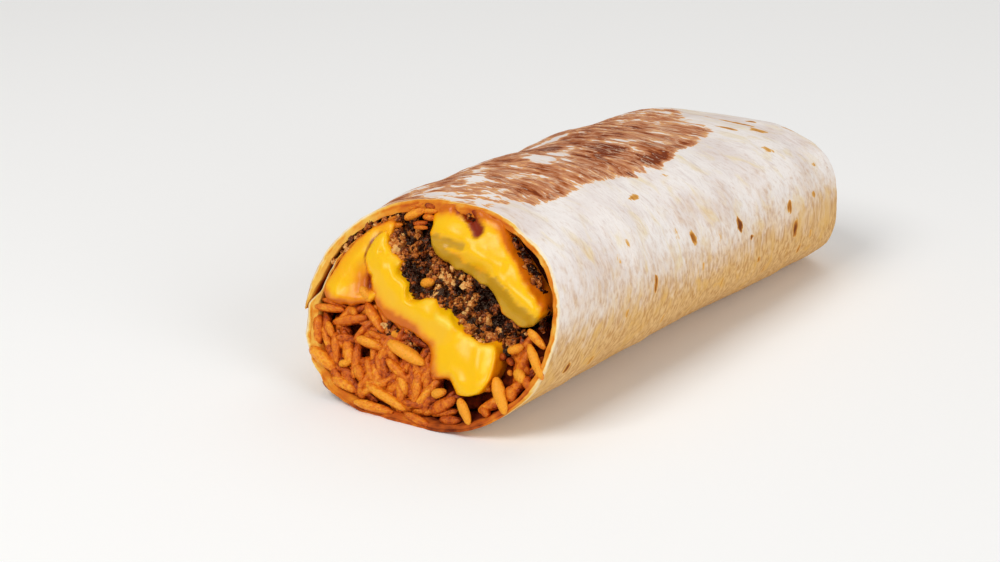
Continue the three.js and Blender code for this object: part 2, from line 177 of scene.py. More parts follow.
def spread_turn(turn, power):
    """A turn round an ellipse as a turn round a squarer form, so that columns lie evenly."""
    there = np.arctan2(signed_power(np.sin(turn), power), signed_power(np.cos(turn), power))
    return turn + (there - turn + np.pi) % FULL_TURN - np.pi


def flap_gap(turn, y):
    """How far the flap lies under the outer layer."""
    along = smooth((SEAM - turn) / SEAM_CLOSING) * smooth((turn - FLAP_END) / START_CLOSING)
    return SLIT + SLIT_GAPE * along * (1 - smooth(y / SLIT_DEPTH))


def stepped_in(turn):
    return smooth((SEAM - FULL_TURN + LEDGE - turn) / LEDGE)


def sheet_outside(turn, y):
    """Depth of the sheet's outer side: it steps in before it runs under its own outer edge."""
    ledge = STEP * stepped_in(turn) * (1 - smooth(tucked(y)))
    under = smooth((SEAM - FULL_TURN - turn) / OUTER_DIVE)
    return mix(ledge, WALL + flap_gap(turn + FULL_TURN, y), under)


def sheet_inside(turn, y):
    ledge = (SLIT + FLAP) * stepped_in(turn)
    thin = EDGE_THINNING * smooth((turn - SEAM + EDGE_TAPER) / EDGE_TAPER)
    under = smooth((SEAM - FULL_TURN - turn) / INNER_DIVE)
    return mix(WALL + ledge - thin, WALL + flap_gap(turn + FULL_TURN, y) + FLAP, under)


def wave(turn, y):
    """The skin's low waves, which fade out underneath and at the cut."""
    fade = smooth((np.sin(turn) + 0.8) / 0.5) * smooth(y / 10)
    short = np.sin(y * SHORT_WAVE + 1.4 * np.sin(2 * turn))
    return WAVE * fade * (short + np.sin(3 * turn + y * LONG_WAVE))


def bumps(points, size, seed=0):
    """Smooth noise between about -1 and 1 at points, with bumps of a size."""
    shifted = np.asarray(points, dtype=float) / size + seed * 17.3
    return np.array([noise.noise(point) for point in shifted])


def rough(points, layers):
    """Bumps of several sizes on top of one another: the size, height and seed of each."""
    return sum(height * bumps(points, size, seed) for size, height, seed in layers)


def read_points(piece):
    points = np.zeros(len(piece.data.vertices) * 3)
    piece.data.vertices.foreach_get("co", points)
    return points.reshape(-1, 3) / MM


def write_points(piece, points):
    piece.data.vertices.foreach_set("co", (points * MM).ravel())
    piece.data.update()


# The sheet's long edges are rounded, from its outer to its inner side: the side and how far out.
round_edge = np.pi * np.arange(1, EDGE_COLUMNS + 1) / (EDGE_COLUMNS + 1)
edge_side, edge_out = (1 - np.cos(round_edge)) / 2, np.sin(round_edge)
column_along = np.concatenate([
    np.linspace(0, 1, OUTSIDE_COLUMNS), np.ones(EDGE_COLUMNS),
    np.linspace(1, 0, INSIDE_COLUMNS), np.zeros(EDGE_COLUMNS + 1),
])
outer, inner = np.zeros(OUTSIDE_COLUMNS), np.ones(INSIDE_COLUMNS)
column_side = np.concatenate([outer, edge_side, inner, edge_side[::-1], [0]])
column_out = np.concatenate([outer, -edge_out, 0 * inner, edge_out, [0]]) * EDGE_ROUND
tuck_turn = np.linspace(0, np.pi / 2, TUCK_ROWS + 1)[1:]
row_y = np.concatenate([
    np.zeros(FACE_ROWS), RIM_ROUND * np.linspace(0, 1, RIM_ROWS + 1)[:-1] ** 2,
    mix(RIM_ROUND, LENGTH - TUCK, np.linspace(0, 1, BODY_ROWS) ** BODY_CROWDING),
    LENGTH - TUCK + TUCK * np.sin(tuck_turn) ** (2 / TUCK_ACROSS),
])
row_y[-1] = LENGTH
row_inward = np.zeros(len(row_y))
row_inward[:FACE_ROWS] = np.linspace(FACE_REACH, 0, FACE_ROWS + 1)[:-1]

bpy.ops.object.select_all(action="DESELECT")
bpy.ops.mesh.primitive_grid_add(
    x_subdivisions=len(column_along) - 1, y_subdivisions=len(row_y) - 1, size=1
)
tortilla = bpy.context.object
tortilla.name = "tortilla_sheet"
flat = read_points(tortilla) * MM + 0.5
column = np.rint(flat[:, 0] * (len(column_along) - 1)).astype(int)
row = np.rint(flat[:, 1] * (len(row_y) - 1)).astype(int)

# Each point of the flat sheet gets its turn round the roll, its distance along it and its side.
RETREAT_FROM = 75  # how far along the sheet's start begins to draw back to the seam
RETREAT = 30  # and over what length it does
y = row_y[row]
inward = row_inward[row]
side = mix(column_side[column], 0.5, inward)
squareness = section(y)[3]
retreat = smooth((y - RETREAT_FROM) / RETREAT)
sheet_end = mix(FLAP_END - FULL_TURN, SEAM - FULL_TURN + 1.6 * EDGE_ROUND, retreat)
first = spread_turn(SEAM, 2 / squareness)
last = spread_turn(sheet_end, 2 / squareness)
turn = spread_turn(mix(first, last, column_along[column]), squareness / 2) + column_out[column]
tuck = tucked(y)
rim = RIM_ROUND * (1 - np.sqrt(1 - np.clip(1 - y / RIM_ROUND, 0, 1) ** 2))
degrees = (turn / DEGREE + 180) % 360 - 180
at_cut = skin(turn, 0 * y, 0)
on_skin = skin(turn, y, 0)

# The knife pressed the sheet thinner at the cut, least at the top: by how much, round the roll.
THINNING_TURN = [-180, -166, -140, -100, -60, -20, 35, 60, 82, 112, 132, 150, 180]
THINNING = [-0.1, 0.5, 0.9, 0.8, 0.9, 0.75, 0.75, 0.9, 0.2, 0.1, 0.1, -0.2, -0.1]
FLAP_THINNING = 0.8
PRESSED = 5  # how far from the cut it was pressed
on_flap = turn < SEAM - FULL_TURN - INNER_DIVE
thinning = np.where(on_flap, FLAP_THINNING, np.interp(degrees, THINNING_TURN, THINNING))
thinning += 0.3 * bumps(at_cut, 2.6, seed=6)
thin = thinning * (1 - smooth(y / PRESSED)) + rim

# Where the sheet's outer edge is thin, both of its sides follow the skin's relief.
SKIN_RELIEF = [(9, 0.35, 0), (3.2, 0.16, 1), (1.2, 0.05, 2)]  # size, height and seed
relief = rough(on_skin, SKIN_RELIEF)
relief *= (1 - tuck) * smooth((np.sin(turn) + 0.9) / 0.4)
raised = wave(turn, y) * (1 - tuck) + relief
outside = skin(turn, y, sheet_outside(turn, y) - raised + rim)
inner_y = y * (LENGTH - TUCK_WALL) / LENGTH
thin += raised * smooth((turn - SEAM + EDGE_TAPER) / EDGE_SUPPLE)
inside = skin(turn, inner_y, sheet_inside(turn, inner_y) - thin, end=LENGTH - TUCK_WALL)
rolled = mix(outside, inside, side[:, None])

# The end is folded in layer by layer: in a spiral, each lip steps down to the one inside it.
outward = closing(y, TUCK_ACROSS)
winding = (turn / FULL_TURN + FOLD_TURNS * (1 - outward) + 0.04 * bumps(on_skin, 9, seed=12)) % 1
lip = np.maximum(1 - smooth(winding / LIP_EDGE), smooth((winding - LIP_EDGE) / LIP_SLOPE))
folded = smooth(tuck / 0.5) * smooth(outward / 0.1)
gathered = np.stack([3 * np.cos(turn), 3 * np.sin(turn), 1.2 * outward], axis=-1)
fold = folded * (FOLD_DEPTH * (1 - lip) + PLEATS * bumps(gathered, 0.5, seed=13))
dimple = DIMPLE * smooth((tuck - 1 + DIMPLE_WIDTH) / DIMPLE_WIDTH)

# The knife left the rim wavy, and the sheet's cut edge crumbly.
RIM_WAVES = [(6, 0.5, 3), (1.8, 0.3, 4), (0.8, 0.12, 7)]  # size, height and seed
CRUMBLINESS = [(1.4, 0.45, 8), (0.6, 0.2, 9)]
WAVY = 8  # how far from the cut the rim's waves reach
crumbly = rough(rolled, CRUMBLINESS) * (inward > 0)
rolled[:, 1] += rough(at_cut, RIM_WAVES) * (1 - smooth(y / WAVY)) - fold - dimple + crumbly
rolled += [MIDDLE_X, MIDDLE_Y, 0]
write_points(tortilla, rolled)


def add_attribute(mesh, name, values):
    made = mesh.attributes.new(name, "FLOAT", "POINT")
    made.data.foreach_set("value", np.asarray(values, dtype=np.float32))


corner = np.zeros(len(tortilla.data.loops), dtype=int)
tortilla.data.loops.foreach_get("vertex_index", corner)
SKIN_RADIUS = 27  # turns the angle round the roll into millimetres of the sheet
sheet_map = tortilla.data.uv_layers[0]
sheet_map.name = "skin"
unrolled = np.stack([turn[corner] * SKIN_RADIUS, y[corner]], axis=-1)
sheet_map.data.foreach_set("uv", (unrolled * MM).ravel())

# Every mark that the griddle left has a frayed edge.
FRAYING = [(3.4, 0.34, 14), (1.3, 0.24, 15)]  # size, height and seed
MARK_CORE = 0.35  # share of a mark's size that has its full strength
MARK_FADE = 0.8  # and over which it fades
frayed = rough(on_skin, FRAYING)


def mark(along, around, half_length, half_turn, strength):
    """A soft uneven mark on the skin: its middle and half sizes, in millimetres and degrees."""
    far = np.hypot((y - along) / half_length, (degrees - around) / half_turn) + frayed
    return strength * (1 - smooth((far - MARK_CORE) / MARK_FADE))


# The griddle browned one long side: where that patch starts and ends round the roll, how deep its
# brown is along the roll, and the marks in it that are darker and lighter than the rest.
TOAST_ALONG = [0, 8, 13, 40, 58, 66, 76, 84, 100, 112, 124]
TOAST_LOW = [79, 77, 69, 68, 63, 62, 68, 73, 78, 93, 104]
TOAST_HIGH = [128, 136, 130, 143, 149, 137, 131, 147, 139, 131, 124]
DARKER = [
    (58, 105, 7, 4, 0.4), (65, 87, 10, 6, 0.35), (70, 71, 9, 6, 0.4), (86, 76, 6, 4, 0.25),
    (38, 108, 5, 10, 0.35), (79, 96, 4, 5, 0.3), (15, 114, 6, 5, 0.25), (48, 80, 7, 6, 0.1),
    (25, 78, 12, 6, 0.08), (92, 100, 10, 8, 0.15),
]
LIGHTER = [
    (54, 96, 6, 5, 0.45), (43, 94, 5, 8, 0.5), (16, 101, 6, 5, 0.4), (3, 85, 5, 14, 0.2),
    (76, 88, 4, 4, 0.25), (70, 119, 14, 4, 0.5), (40, 122, 14, 4, 0.3), (4, 103, 5, 8, 0.25),
    (108, 92, 9, 6, 0.2), (30, 92, 8, 5, 0.2),
]
toast_low, toast_high = (np.interp(y, TOAST_ALONG, bound) for bound in (TOAST_LOW, TOAST_HIGH))
toast = smooth((degrees - toast_low + 3) / 8) * smooth((toast_high - degrees + 5) / 12)
TOAST_DEPTH = [0.52, 0.58, 0.6, 0.6, 0.72, 0.74, 0.66, 0.58, 0.5, 0.46]
TOAST_DEPTH_ALONG = [0, 8, 20, 42, 56, 66, 88, 98, 112, 124]
TOAST_STOPS = 116  # how far along the patch starts to fade out
toast *= np.interp(y, TOAST_DEPTH_ALONG, TOAST_DEPTH) + (
    sum(mark(*spot) for spot in DARKER) - sum(mark(*spot) for spot in LIGHTER)
)
toast = np.clip(toast, 0, 1.3) * (1 - smooth((y - TOAST_STOPS) / 9))
toast -= 0.4 * (1 - smooth(toast / 0.3))  # what is hardly toasted stays clear of streaks
add_attribute(tortilla.data, "toast", toast * (side < 0.5))

# Single blisters that the griddle touched, the ones round the back and underneath drawn at random.
SPOTS = [
    (46, 53, 3.4, 2.2, 0.5), (65, 58, 3, 3, 0.3), (104, 54, 2.4, 6, 0.38), (114.5, 30, 1.5, 6, 0.42),
    (57.5, 20, 1.6, 6.6, 0.7), (52, 26, 1.4, 6, 0.3), (76, 15, 1.25, 6, 0.9),
    (80.5, 4.5, 0.8, 1.6, 0.9), (37.6, 7, 0.95, 5.6, 0.76), (97.6, 10, 1.1, 5.2, 0.62),
    (100, -1, 1, 3.8, 0.86), (108.5, 10, 1.2, 2.8, 0.5), (85, -9, 1, 4, 0.62), (27, -2, 1, 4.4, 0.5),
    (9.6, -16, 1.2, 4, 0.85), (24.6, 27, 0.9, 5, 0.33), (30, 33, 0.9, 5, 0.33), (108, -6, 1.3, 4, 0.35),
    (120.5, 83, 1.6, 3.4, 0.62), (114, 74, 2.6, 6, 0.5), (124.5, 67, 1.4, 6, 0.45),
    (108, 82, 1.5, 6, 0.55), (60, 1, 1, 6, 0.33), (67, 14, 2, 7, 0.3), (116, 84, 1.4, 8, 0.6),
    (125, 108, 1.5, 12, 0.72), (121, 118, 1.7, 10, 0.66), (70, -14, 0.8, 6, 0.5),
    (90, -20, 0.8, 6, 0.55), (45, -18, 0.8, 6, 0.5), (20, -22, 0.9, 6, 0.5), (104, -14, 0.9, 5, 0.6),
]
BLISTERS = 46
random.seed(21)
for _ in range(BLISTERS):
    round_back = random.uniform(140, 320)
    around = (round_back + 180) % 360 - 180
    strength = random.uniform(0.3, 0.85)
    along, half_length = random.uniform(6, 120), random.uniform(0.7, 1.7)
    SPOTS.append((along, around, half_length, random.uniform(2.4, 7), strength))
spotted = np.max([mark(*spot) for spot in SPOTS], axis=0)
add_attribute(tortilla.data, "spotted", spotted * (side < 0.5))

# The skin turns golden down its sides, partly its own colour and partly painted shade away from the top:
# from how many degrees off the top, over how many, and how much.
TAN_AND_SHADE = [(32, 46, 0.31), (66, 44, 0.82)]
from_top = np.abs((degrees - 90 + 180) % 360 - 180)
tan = sum(share * smooth((from_top - start) / over) for start, over, share in TAN_AND_SHADE)
# On the tucked end it darkens towards the bottom, partly as painted shade, and more on the raised lips of
# its folds.
end_tan_and_shade = 0.8 - 0.75 * smooth(rolled[:, 2] / 26) + 0.25 * lip
tan = mix(tan, end_tan_and_shade, smooth(tuck / 0.7))
add_attribute(tortilla.data, "tan", tan * (side < 0.5))
add_attribute(tortilla.data, "at_end", smooth((tuck - 0.05) / 0.5))

# How far sauce has soaked into the cut edge, round the roll from its lower left, deepest round the
# bottom, where it is partly painted shade, and how much of that reaches its outermost line, which stayed
# pale where the sheet is dry.
STAIN_TURN = [-180, -165, -140, -120, -90, -60, -40, -22, -5, 30, 58, 72, 105, 120, 140, 165, 180]
STAIN = [0.32, 0.4, 0.5, 0.6, 0.78, 0.84, 0.74, 0.64, 0.6, 0.58, 0.56, 0.64, 0.68, 0.58, 0.38, 0.3, 0.32]
LINE = [0.15, 0.2, 0.7, 1, 1, 1, 0.9, 0.5, 0.3, 0.3, 0.3, 0.8, 0.95, 0.7, 0.35, 0.3, 0.15]
FLAP_TURN = [120, 140, 158, 166, 180]
FLAP_STAIN = [0.62, 0.54, 0.48, 0.42, 0.36]
FLAP_LINE = [1.1, 1, 0.8, 0.3, 0.2]
flap_turn = degrees % 360
soaked, line = (
    np.where(on_flap, np.interp(flap_turn, FLAP_TURN, flap), np.interp(degrees, STAIN_TURN, rest))
    for flap, rest in ((FLAP_STAIN, STAIN), (FLAP_LINE, LINE))
)
soaked = soaked + 0.18 * bumps(at_cut, 4, seed=5) + 0.16 * bumps(rolled, 1.3, seed=10)
edge_soaked = mix(soaked * line, soaked * 1.1, smooth(side / 0.28))
lapping = 1 - smooth((y - 0.1) / (0.7 + 3.5 * smooth((-degrees - 2) / 30) * (degrees > -120)))
# Inside the sheet the stain darkens with depth from the cut: painted shade in the slit and under the rim,
# over the soaked sauce.
within = np.clip(soaked, 0.4, 1) + 0.5 * smooth((y - 0.6) / 3)
stain_and_shade = np.where((side > 0.5) | (on_flap & (y > 0.3)), within, edge_soaked * lapping)
add_attribute(tortilla.data, "stain_and_shade", np.clip(stain_and_shade, 0, 1))

bpy.ops.object.mode_set(mode="EDIT")
bpy.ops.mesh.select_all(action="SELECT")
bpy.ops.mesh.remove_doubles(threshold=0.0005 * MM)
bpy.ops.mesh.select_all(action="DESELECT")
bpy.ops.mesh.select_mode(type="EDGE")
bpy.ops.mesh.select_non_manifold(extend=False)
bpy.ops.mesh.fill(use_beauty=True)
bpy.ops.mesh.select_all(action="SELECT")
bpy.ops.mesh.normals_make_consistent(inside=False)
bpy.ops.object.mode_set(mode="OBJECT")
bpy.ops.object.shade_smooth_by_angle(angle=60 * DEGREE)


def new_finish(name, roughness, **surface):
    """A material with the values of its shader that are the same all over."""
    made = bpy.data.materials.new(name)
    made.use_nodes = True
    shader = made.node_tree.nodes["Principled BSDF"]
    shader.inputs["Roughness"].default_value = roughness
    for socket, value in surface.items():
        shader.inputs[socket.replace("_", " ")].default_value = value
    return made


def add_node(tree, kind, inputs, output=0, **settings):
    """A shader node whose inputs are numbers, colours or other nodes' outputs."""
    made = tree.nodes.new("ShaderNode" + kind)
    for key, value in settings.items():
        setattr(made, key, value)
    for socket, value in inputs.items():
        if isinstance(value, bpy.types.NodeSocket):
            tree.links.new(value, made.inputs[socket])
        else:
            made.inputs[socket].default_value = value
    return made.outputs[output]


def in_solid(finish):
    return add_node(finish.node_tree, "TexCoord", {}, output=3)


def laid_on(finish, name, output=2):
    return add_node(finish.node_tree, "Attribute", {}, output, attribute_name=name)


def colour(red, green, blue):
    """A colour from its 0 to 255 values on a screen."""
    return tuple((v / 255) ** 2.2 for v in (red, green, blue)) + (1,)


def blended(share, first, second):
    """A mix of two colours, each one given by its values or coming from another node."""
    first, second = (colour(*side) if isinstance(side, tuple) else side for side in (first, second))
    inputs = {0: share, 6: first, 7: second}
    return add_node(share.id_data, "Mix", inputs, output=2, data_type="RGBA")


def between(value, low, high):
    """A smooth step from 0 at a low value to 1 at a high one."""
    inputs = {"Value": value, "From Min": low, "From Max": high}
    return add_node(value.id_data, "MapRange", inputs, interpolation_type="SMOOTHSTEP")


def grain(where, size, detail, stretch=(1, 1, 1), turned=0, warp=0):
    """Noise whose patches are about a size in millimetres, stretched along its axes."""
    inputs = {"Vector": where, "Scale": stretch, "Rotation": (0, 0, turned)}
    placed = add_node(where.id_data, "Mapping", inputs)
    inputs = {"Vector": placed, "Scale": 1 / (size * MM), "Detail": detail, "Distortion": warp}
    return add_node(where.id_data, "TexNoise", inputs)


def total(first, second, operation="ADD"):
    return add_node(first.id_data, "Math", {0: first, 1: second}, operation=operation)


def times(value, share):
    return total(value, share, "MULTIPLY")


def uneven(value, *pushes):
    """A value that grains push up and down, each by its share."""
    for pushing, share in pushes:
        value = total(value, times(total(pushing, -0.5), share))
    return value


def ramp(value, stops):
    """Colours at places along a value from 0 to 1."""
    made = value.id_data.nodes.new("ShaderNodeValToRGB")
    value.id_data.links.new(value, made.inputs[0])
    while len(made.color_ramp.elements) < len(stops):
        made.color_ramp.elements.new(0.5)
    for element, (place, shade) in zip(made.color_ramp.elements, stops):
        element.position = place
        element.color = colour(*shade)
    return made.outputs[0]


def connect(socket, value):
    tree = value.id_data
    tree.links.new(value, tree.nodes["Principled BSDF"].inputs[socket])


def bumped(height, depth):
    """Relief of a depth in millimetres from a height between 0 and 1."""
    inputs = {"Height": height, "Distance": depth * MM, "Strength": 1}
    connect("Normal", add_node(height.id_data, "Bump", inputs))


baked = new_finish("baked_flour", 0.75, Specular_IOR_Level=0.16)
solid_place = in_solid(baked)
skin_place = add_node(baked.node_tree, "UVMap", {}, uv_map="skin")
toasted, spotted, tan_and_shade, stained_and_shaded, at_end = (
    laid_on(baked, name) for name in ("toast", "spotted", "tan", "stain_and_shade", "at_end")
)


def skin_grain(size, detail, squeezed, turned, warp=0):
    """Grain that follows the rolled sheet, and lies in space on its end, where the sheet gathers."""
    on_sheet = grain(skin_place, size, detail, (squeezed, 1, 1), turned, warp)
    in_space = grain(solid_place, 1.8 * size, detail)
    return add_node(baked.node_tree, "Mix", {0: at_end, 2: on_sheet, 3: in_space}, data_type="FLOAT")


# The griddle's marks and the flour's grain all run round the roll, as the sheet was stretched.
clouds = grain(solid_place, 13, detail=5)
blotches = skin_grain(5, detail=5, squeezed=0.55, turned=0.2, warp=0.8)
streaks = skin_grain(1.8, detail=5, squeezed=0.36, turned=0.12, warp=0.9)
fine_streaks = skin_grain(0.8, detail=4, squeezed=0.42, turned=0.2, warp=0.5)
flecks = skin_grain(2.3, detail=4, squeezed=0.75, turned=0.3, warp=0.6)
freckles = skin_grain(0.9, detail=3, squeezed=0.6, turned=0.2)
wrinkles = skin_grain(2.8, detail=3, squeezed=0.3, turned=0.05, warp=1.4)

# Pale flour, clouded cream and mauve, and the golden skin of the sides and the underside, which is partly
# painted shade.
flour = blended(between(clouds, 0.38, 0.66), (241, 233, 227), (228, 216, 210))
flour = blended(between(blotches, 0.5, 0.8), flour, (234, 214, 172))
flour = blended(times(between(streaks, 0.5, 0.74), 0.4), flour, (204, 184, 178))
flour = blended(times(between(fine_streaks, 0.52, 0.76), 0.4), flour, (206, 182, 164))
golden = blended(between(fine_streaks, 0.36, 0.66), (224, 184, 126), (196, 146, 88))
golden = blended(between(blotches, 0.5, 0.72), golden, (222, 174, 96))
tan_and_shade_share = uneven(tan_and_shade, (streaks, 0.6), (fine_streaks, 0.3), (flecks, 0.5), (clouds, 0.8))
body = blended(between(tan_and_shade_share, 0.02, 1.02), flour, golden)
freckled = times(between(freckles, 0.64, 0.74), between(tan_and_shade, 0.1, 0.7))
body = blended(times(freckled, 0.45), body, (176, 118, 62))

# The blisters, then the toasted patch, with thin pale lines along its wrinkles painted on as highlights.
spot_share = uneven(spotted, (fine_streaks, 0.5))
spot_colour = ramp(spot_share, [
    (0.2, (240, 212, 156)), (0.36, (222, 166, 84)), (0.56, (186, 118, 48)), (0.8, (122, 64, 26)),
])
body = blended(between(spot_share, 0.24, 0.38), body, spot_colour)
toast_share = uneven(toasted, (streaks, 0.9), (blotches, 1.6), (flecks, 1.1), (fine_streaks, 0.6))
toast_colour = ramp(toast_share, [
    (0.3, (242, 210, 164)), (0.4, (226, 162, 94)), (0.54, (200, 136, 98)), (0.74, (178, 108, 68)),
    (0.9, (154, 76, 26)), (1, (120, 52, 16)),
])
face = blended(between(toast_share, 0.3, 0.42), body, toast_colour)
off_crest = total(total(wrinkles, -0.5), 0, "ABSOLUTE")
crest_highlight_share = times(times(between(off_crest, 0.03, 0.004), 0.4), between(toasted, 0, 0.3))
face = blended(crest_highlight_share, face, (246, 222, 190))
# The sauce's colours, whose darkest end also carries the painted shade inside the sheet.
sauce = ramp(uneven(stained_and_shaded, (fine_streaks, 0.3)), [
    (0.1, (246, 232, 196)), (0.35, (240, 190, 84)), (0.56, (226, 134, 36)), (0.75, (196, 92, 28)),
    (1, (92, 30, 12)),
])
connect("Base Color", blended(between(stained_and_shaded, 0.02, 0.22), face, sauce))
pores = grain(solid_place, 0.8, detail=3)
bumped(total(times(streaks, 0.6), times(pores, 0.4)), 0.3)
tortilla.data.materials.clear()
tortilla.data.materials.append(baked)
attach(tortilla, "root")
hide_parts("tortilla")

# ---- Rice ----
# Long-grain rice cooked in tomato and chilli, packed in the lower half of the roll. The heap is one
# core that runs through the roll, with single grains pressed into its front where it was cut.
DRAG_ACROSS = 0.54  # how far a thing was dragged right and up for each millimetre it stands out
DRAG_UP = 0.37


def place(x, z, y):
    """A point of the filling, from its place in the section at the cut and its distance along."""
    width, height, drift, _ = section(y)
    across = np.asarray(x) / HALF_WIDTH * width
    up = height * UNDERSIDE + (np.asarray(z) / HALF_HEIGHT - UNDERSIDE) * height
    along = slant(across, up, y) + MIDDLE_Y
    return np.stack([across + drift + MIDDLE_X, along, up + 0 * across], axis=-1)


def in_face(x, z, behind):
    """A point near the cut: what stands out of it leans right and up, as the knife dragged it."""
    return place(x - DRAG_ACROSS * behind, z - DRAG_UP * behind, behind)


RICE = [
    (-26.4, 18.6), (-21, 19.6), (-15, 22), (-6, 19.2), (4, 14.6), (10, 11.6), (17, 11.4), (20, 17.6),
    (25, 22.4), (28, 21.6), (27.4, 12.6), (22.4, 6.8), (12, 3), (0, 2.4), (-11, 3), (-19, 6), (-24.4, 11),
]
FILLING_END = LENGTH - TUCK - TUCK_WALL
OUTLINE_STEP = 0.8


def drawn_outline(corners):
    """Evenly spaced points on the smooth closed curve through an outline's corners."""
    points = np.array(corners, dtype=float)
    before, after, later = (np.roll(points, k, axis=0) for k in (1, -1, -2))
    k = np.linspace(0, 1, 20, endpoint=False)[None, :, None]
    a, b, c, d = (p[:, None, :] for p in (before, points, after, later))
    curve = 2 * b + (c - a) * k + (2 * a - 5 * b + 4 * c - d) * k**2
    curve = (0.5 * (curve + (3 * b - a - 3 * c + d) * k**3)).reshape(-1, 2)
    closed = np.vstack([curve, curve[:1]])
    walked = np.concatenate([[0], np.cumsum(np.hypot(*np.diff(closed, axis=0).T))])
    at = np.linspace(0, walked[-1], int(walked[-1] / OUTLINE_STEP), endpoint=False)
    return np.stack([np.interp(at, walked, closed[:, i]) for i in (0, 1)], axis=-1)


def distance_to(path, x, z):
    """How far places in the cut lie from a path of points."""
    ends = np.array(path, dtype=float)
    nearest = np.full(np.shape(x), np.inf)
    for (ax, az), (bx, bz) in zip(ends[:-1], ends[1:]):
        long = max((bx - ax) ** 2 + (bz - az) ** 2, 1e-9)
        k = np.clip(((x - ax) * (bx - ax) + (z - az) * (bz - az)) / long, 0, 1)
        nearest = np.minimum(nearest, np.hypot(x - ax - k * (bx - ax), z - az - k * (bz - az)))
    return nearest


def straight_filling(name, corners, front):
    """A filling before it is rolled in: its outline, pulled out straight along the roll."""
    outline = drawn_outline(corners)
    bpy.ops.object.select_all(action="DESELECT")
    bpy.ops.mesh.primitive_circle_add(vertices=len(outline), fill_type="NGON")
    made = bpy.context.object
    made.name = name
    for vertex, (x, z) in zip(made.data.vertices, outline):
        vertex.co = Vector((x, front, z)) * MM
    bpy.ops.object.mode_set(mode="EDIT")
    bpy.ops.mesh.select_all(action="SELECT")
    bpy.ops.mesh.extrude_region_move(
        TRANSFORM_OT_translate={"value": (0, (FILLING_END - front) * MM, 0)}
    )
    bpy.ops.mesh.select_all(action="SELECT")
    bpy.ops.mesh.normals_make_consistent(inside=False)
    bpy.ops.object.mode_set(mode="OBJECT")
    return made


def melted(piece, voxel, smoothing):
    """Remeshes a piece evenly and rounds its edges off."""
    bpy.context.view_layer.objects.active = piece
    even = {"mode": "VOXEL", "voxel_size": voxel * MM, "use_smooth_shade": True}
    rounded = {"factor": 0.6, "iterations": smoothing}
    for kind, settings in (("REMESH", even), ("SMOOTH", rounded)):
        added = piece.modifiers.new(kind.lower(), kind)
        for key, value in settings.items():
            setattr(added, key, value)
        bpy.ops.object.modifier_apply(modifier=added.name)


def rolled_in(piece):
    """Moves a straight filling's points to where they lie in the roll."""
    x, along, z = read_points(piece).T
    write_points(piece, place(x, z, along))


def take_shape(piece):
    """A small piece's points and faces, taken from its object, which is then deleted."""
    points = np.array([v.co for v in piece.data.vertices])
    faces = [tuple(p.vertices) for p in piece.data.polygons]
    bpy.data.objects.remove(piece)
    return points, faces


PAINTED_DEPTH_SHADE = 0.09  # painted shade: how much darker small things get for each millimetre behind the cut
OWN_SHADE = 0.15  # and each one's own points for each millimetre behind its middle


def strewn(name, shapes, copies):
    """One mesh of many small things: each copy has a shape, its axes, its middle and its tone."""
    points, faces, tones, own_depths, own_places = [], [], [], [], []
    start = 0
    for shape, axes, middle, tone in copies:
        shape_points, shape_faces = shapes[shape]
        turned = shape_points @ axes
        points.append(turned + middle)
        own_depths.append(turned[:, 1] - 0.4 * turned[:, 2])
        faces.extend(tuple(i + start for i in face) for face in shape_faces)
        tones.append(np.full(len(shape_points), tone))
        own_places.append(shape_points * [1, 0.35, 0.35] + 3.7 * len(tones))
        start += len(shape_points)
    points = np.concatenate(points)
    mesh = bpy.data.meshes.new(name)
    mesh.from_pydata(points * MM, [], faces)
    mesh.shade_smooth()
    x, y, z = points.T
    sunk = np.clip(y - MIDDLE_Y - slant(x - MIDDLE_X, z, 0), -1, 6)
    # Each point's tone is darkened by its depth: painted shade in the crevices between the grains and
    # crumbs.
    tone = np.concatenate(tones) - PAINTED_DEPTH_SHADE * sunk - OWN_SHADE * np.concatenate(own_depths)
    add_attribute(mesh, "tone", tone)
    own = mesh.attributes.new("own_place", "FLOAT_VECTOR", "POINT")
    own.data.foreach_set("vector", np.concatenate(own_places).astype(np.float32).ravel())
    made = bpy.data.objects.new(name, mesh)
    bpy.context.scene.collection.objects.link(made)
    return made


rice_core = straight_filling("rice_core", RICE, 4)
melted(rice_core, 1.2, 4)
rolled_in(rice_core)


def new_ball(segments, rings):
    """The ball that a grain or a crumb is shaped from."""
    bpy.ops.object.select_all(action="DESELECT")
    bpy.ops.mesh.primitive_uv_sphere_add(segments=segments, ring_count=rings, radius=0.5)
    return bpy.context.object


GRAIN_SHAPES = 5
BLUNTNESS = 2.15  # power of a grain's outline, where 2 is an ellipse
TAPER = 0.12
DENTS = 0.16
THINNESS = 0.85  # share of a grain's width that its thickness is
random.seed(7)
grain_shapes = []
for number in range(GRAIN_SHAPES):
    kernel = new_ball(8, 8)
    bend = random.uniform(0.01, 0.07)
    for vertex in kernel.data.vertices:
        across, upright, along = vertex.co * 2
        along = max(-1, min(1, along))
        roundness = max(1 - along ** 2, 1e-9) ** 0.5
        girth = (1 - abs(along) ** BLUNTNESS) ** (1 / BLUNTNESS) / roundness * (1 - TAPER * along)
        dent = 1 + DENTS * noise.noise(vertex.co * 3 + Vector((number * 5.3, 0, 0)))
        vertex.co = Vector((along, across * girth * dent, THINNESS * upright * girth * dent)) / 2
        vertex.co.z += bend * (1 - along ** 2)
    grain_shapes.append(take_shape(kernel))
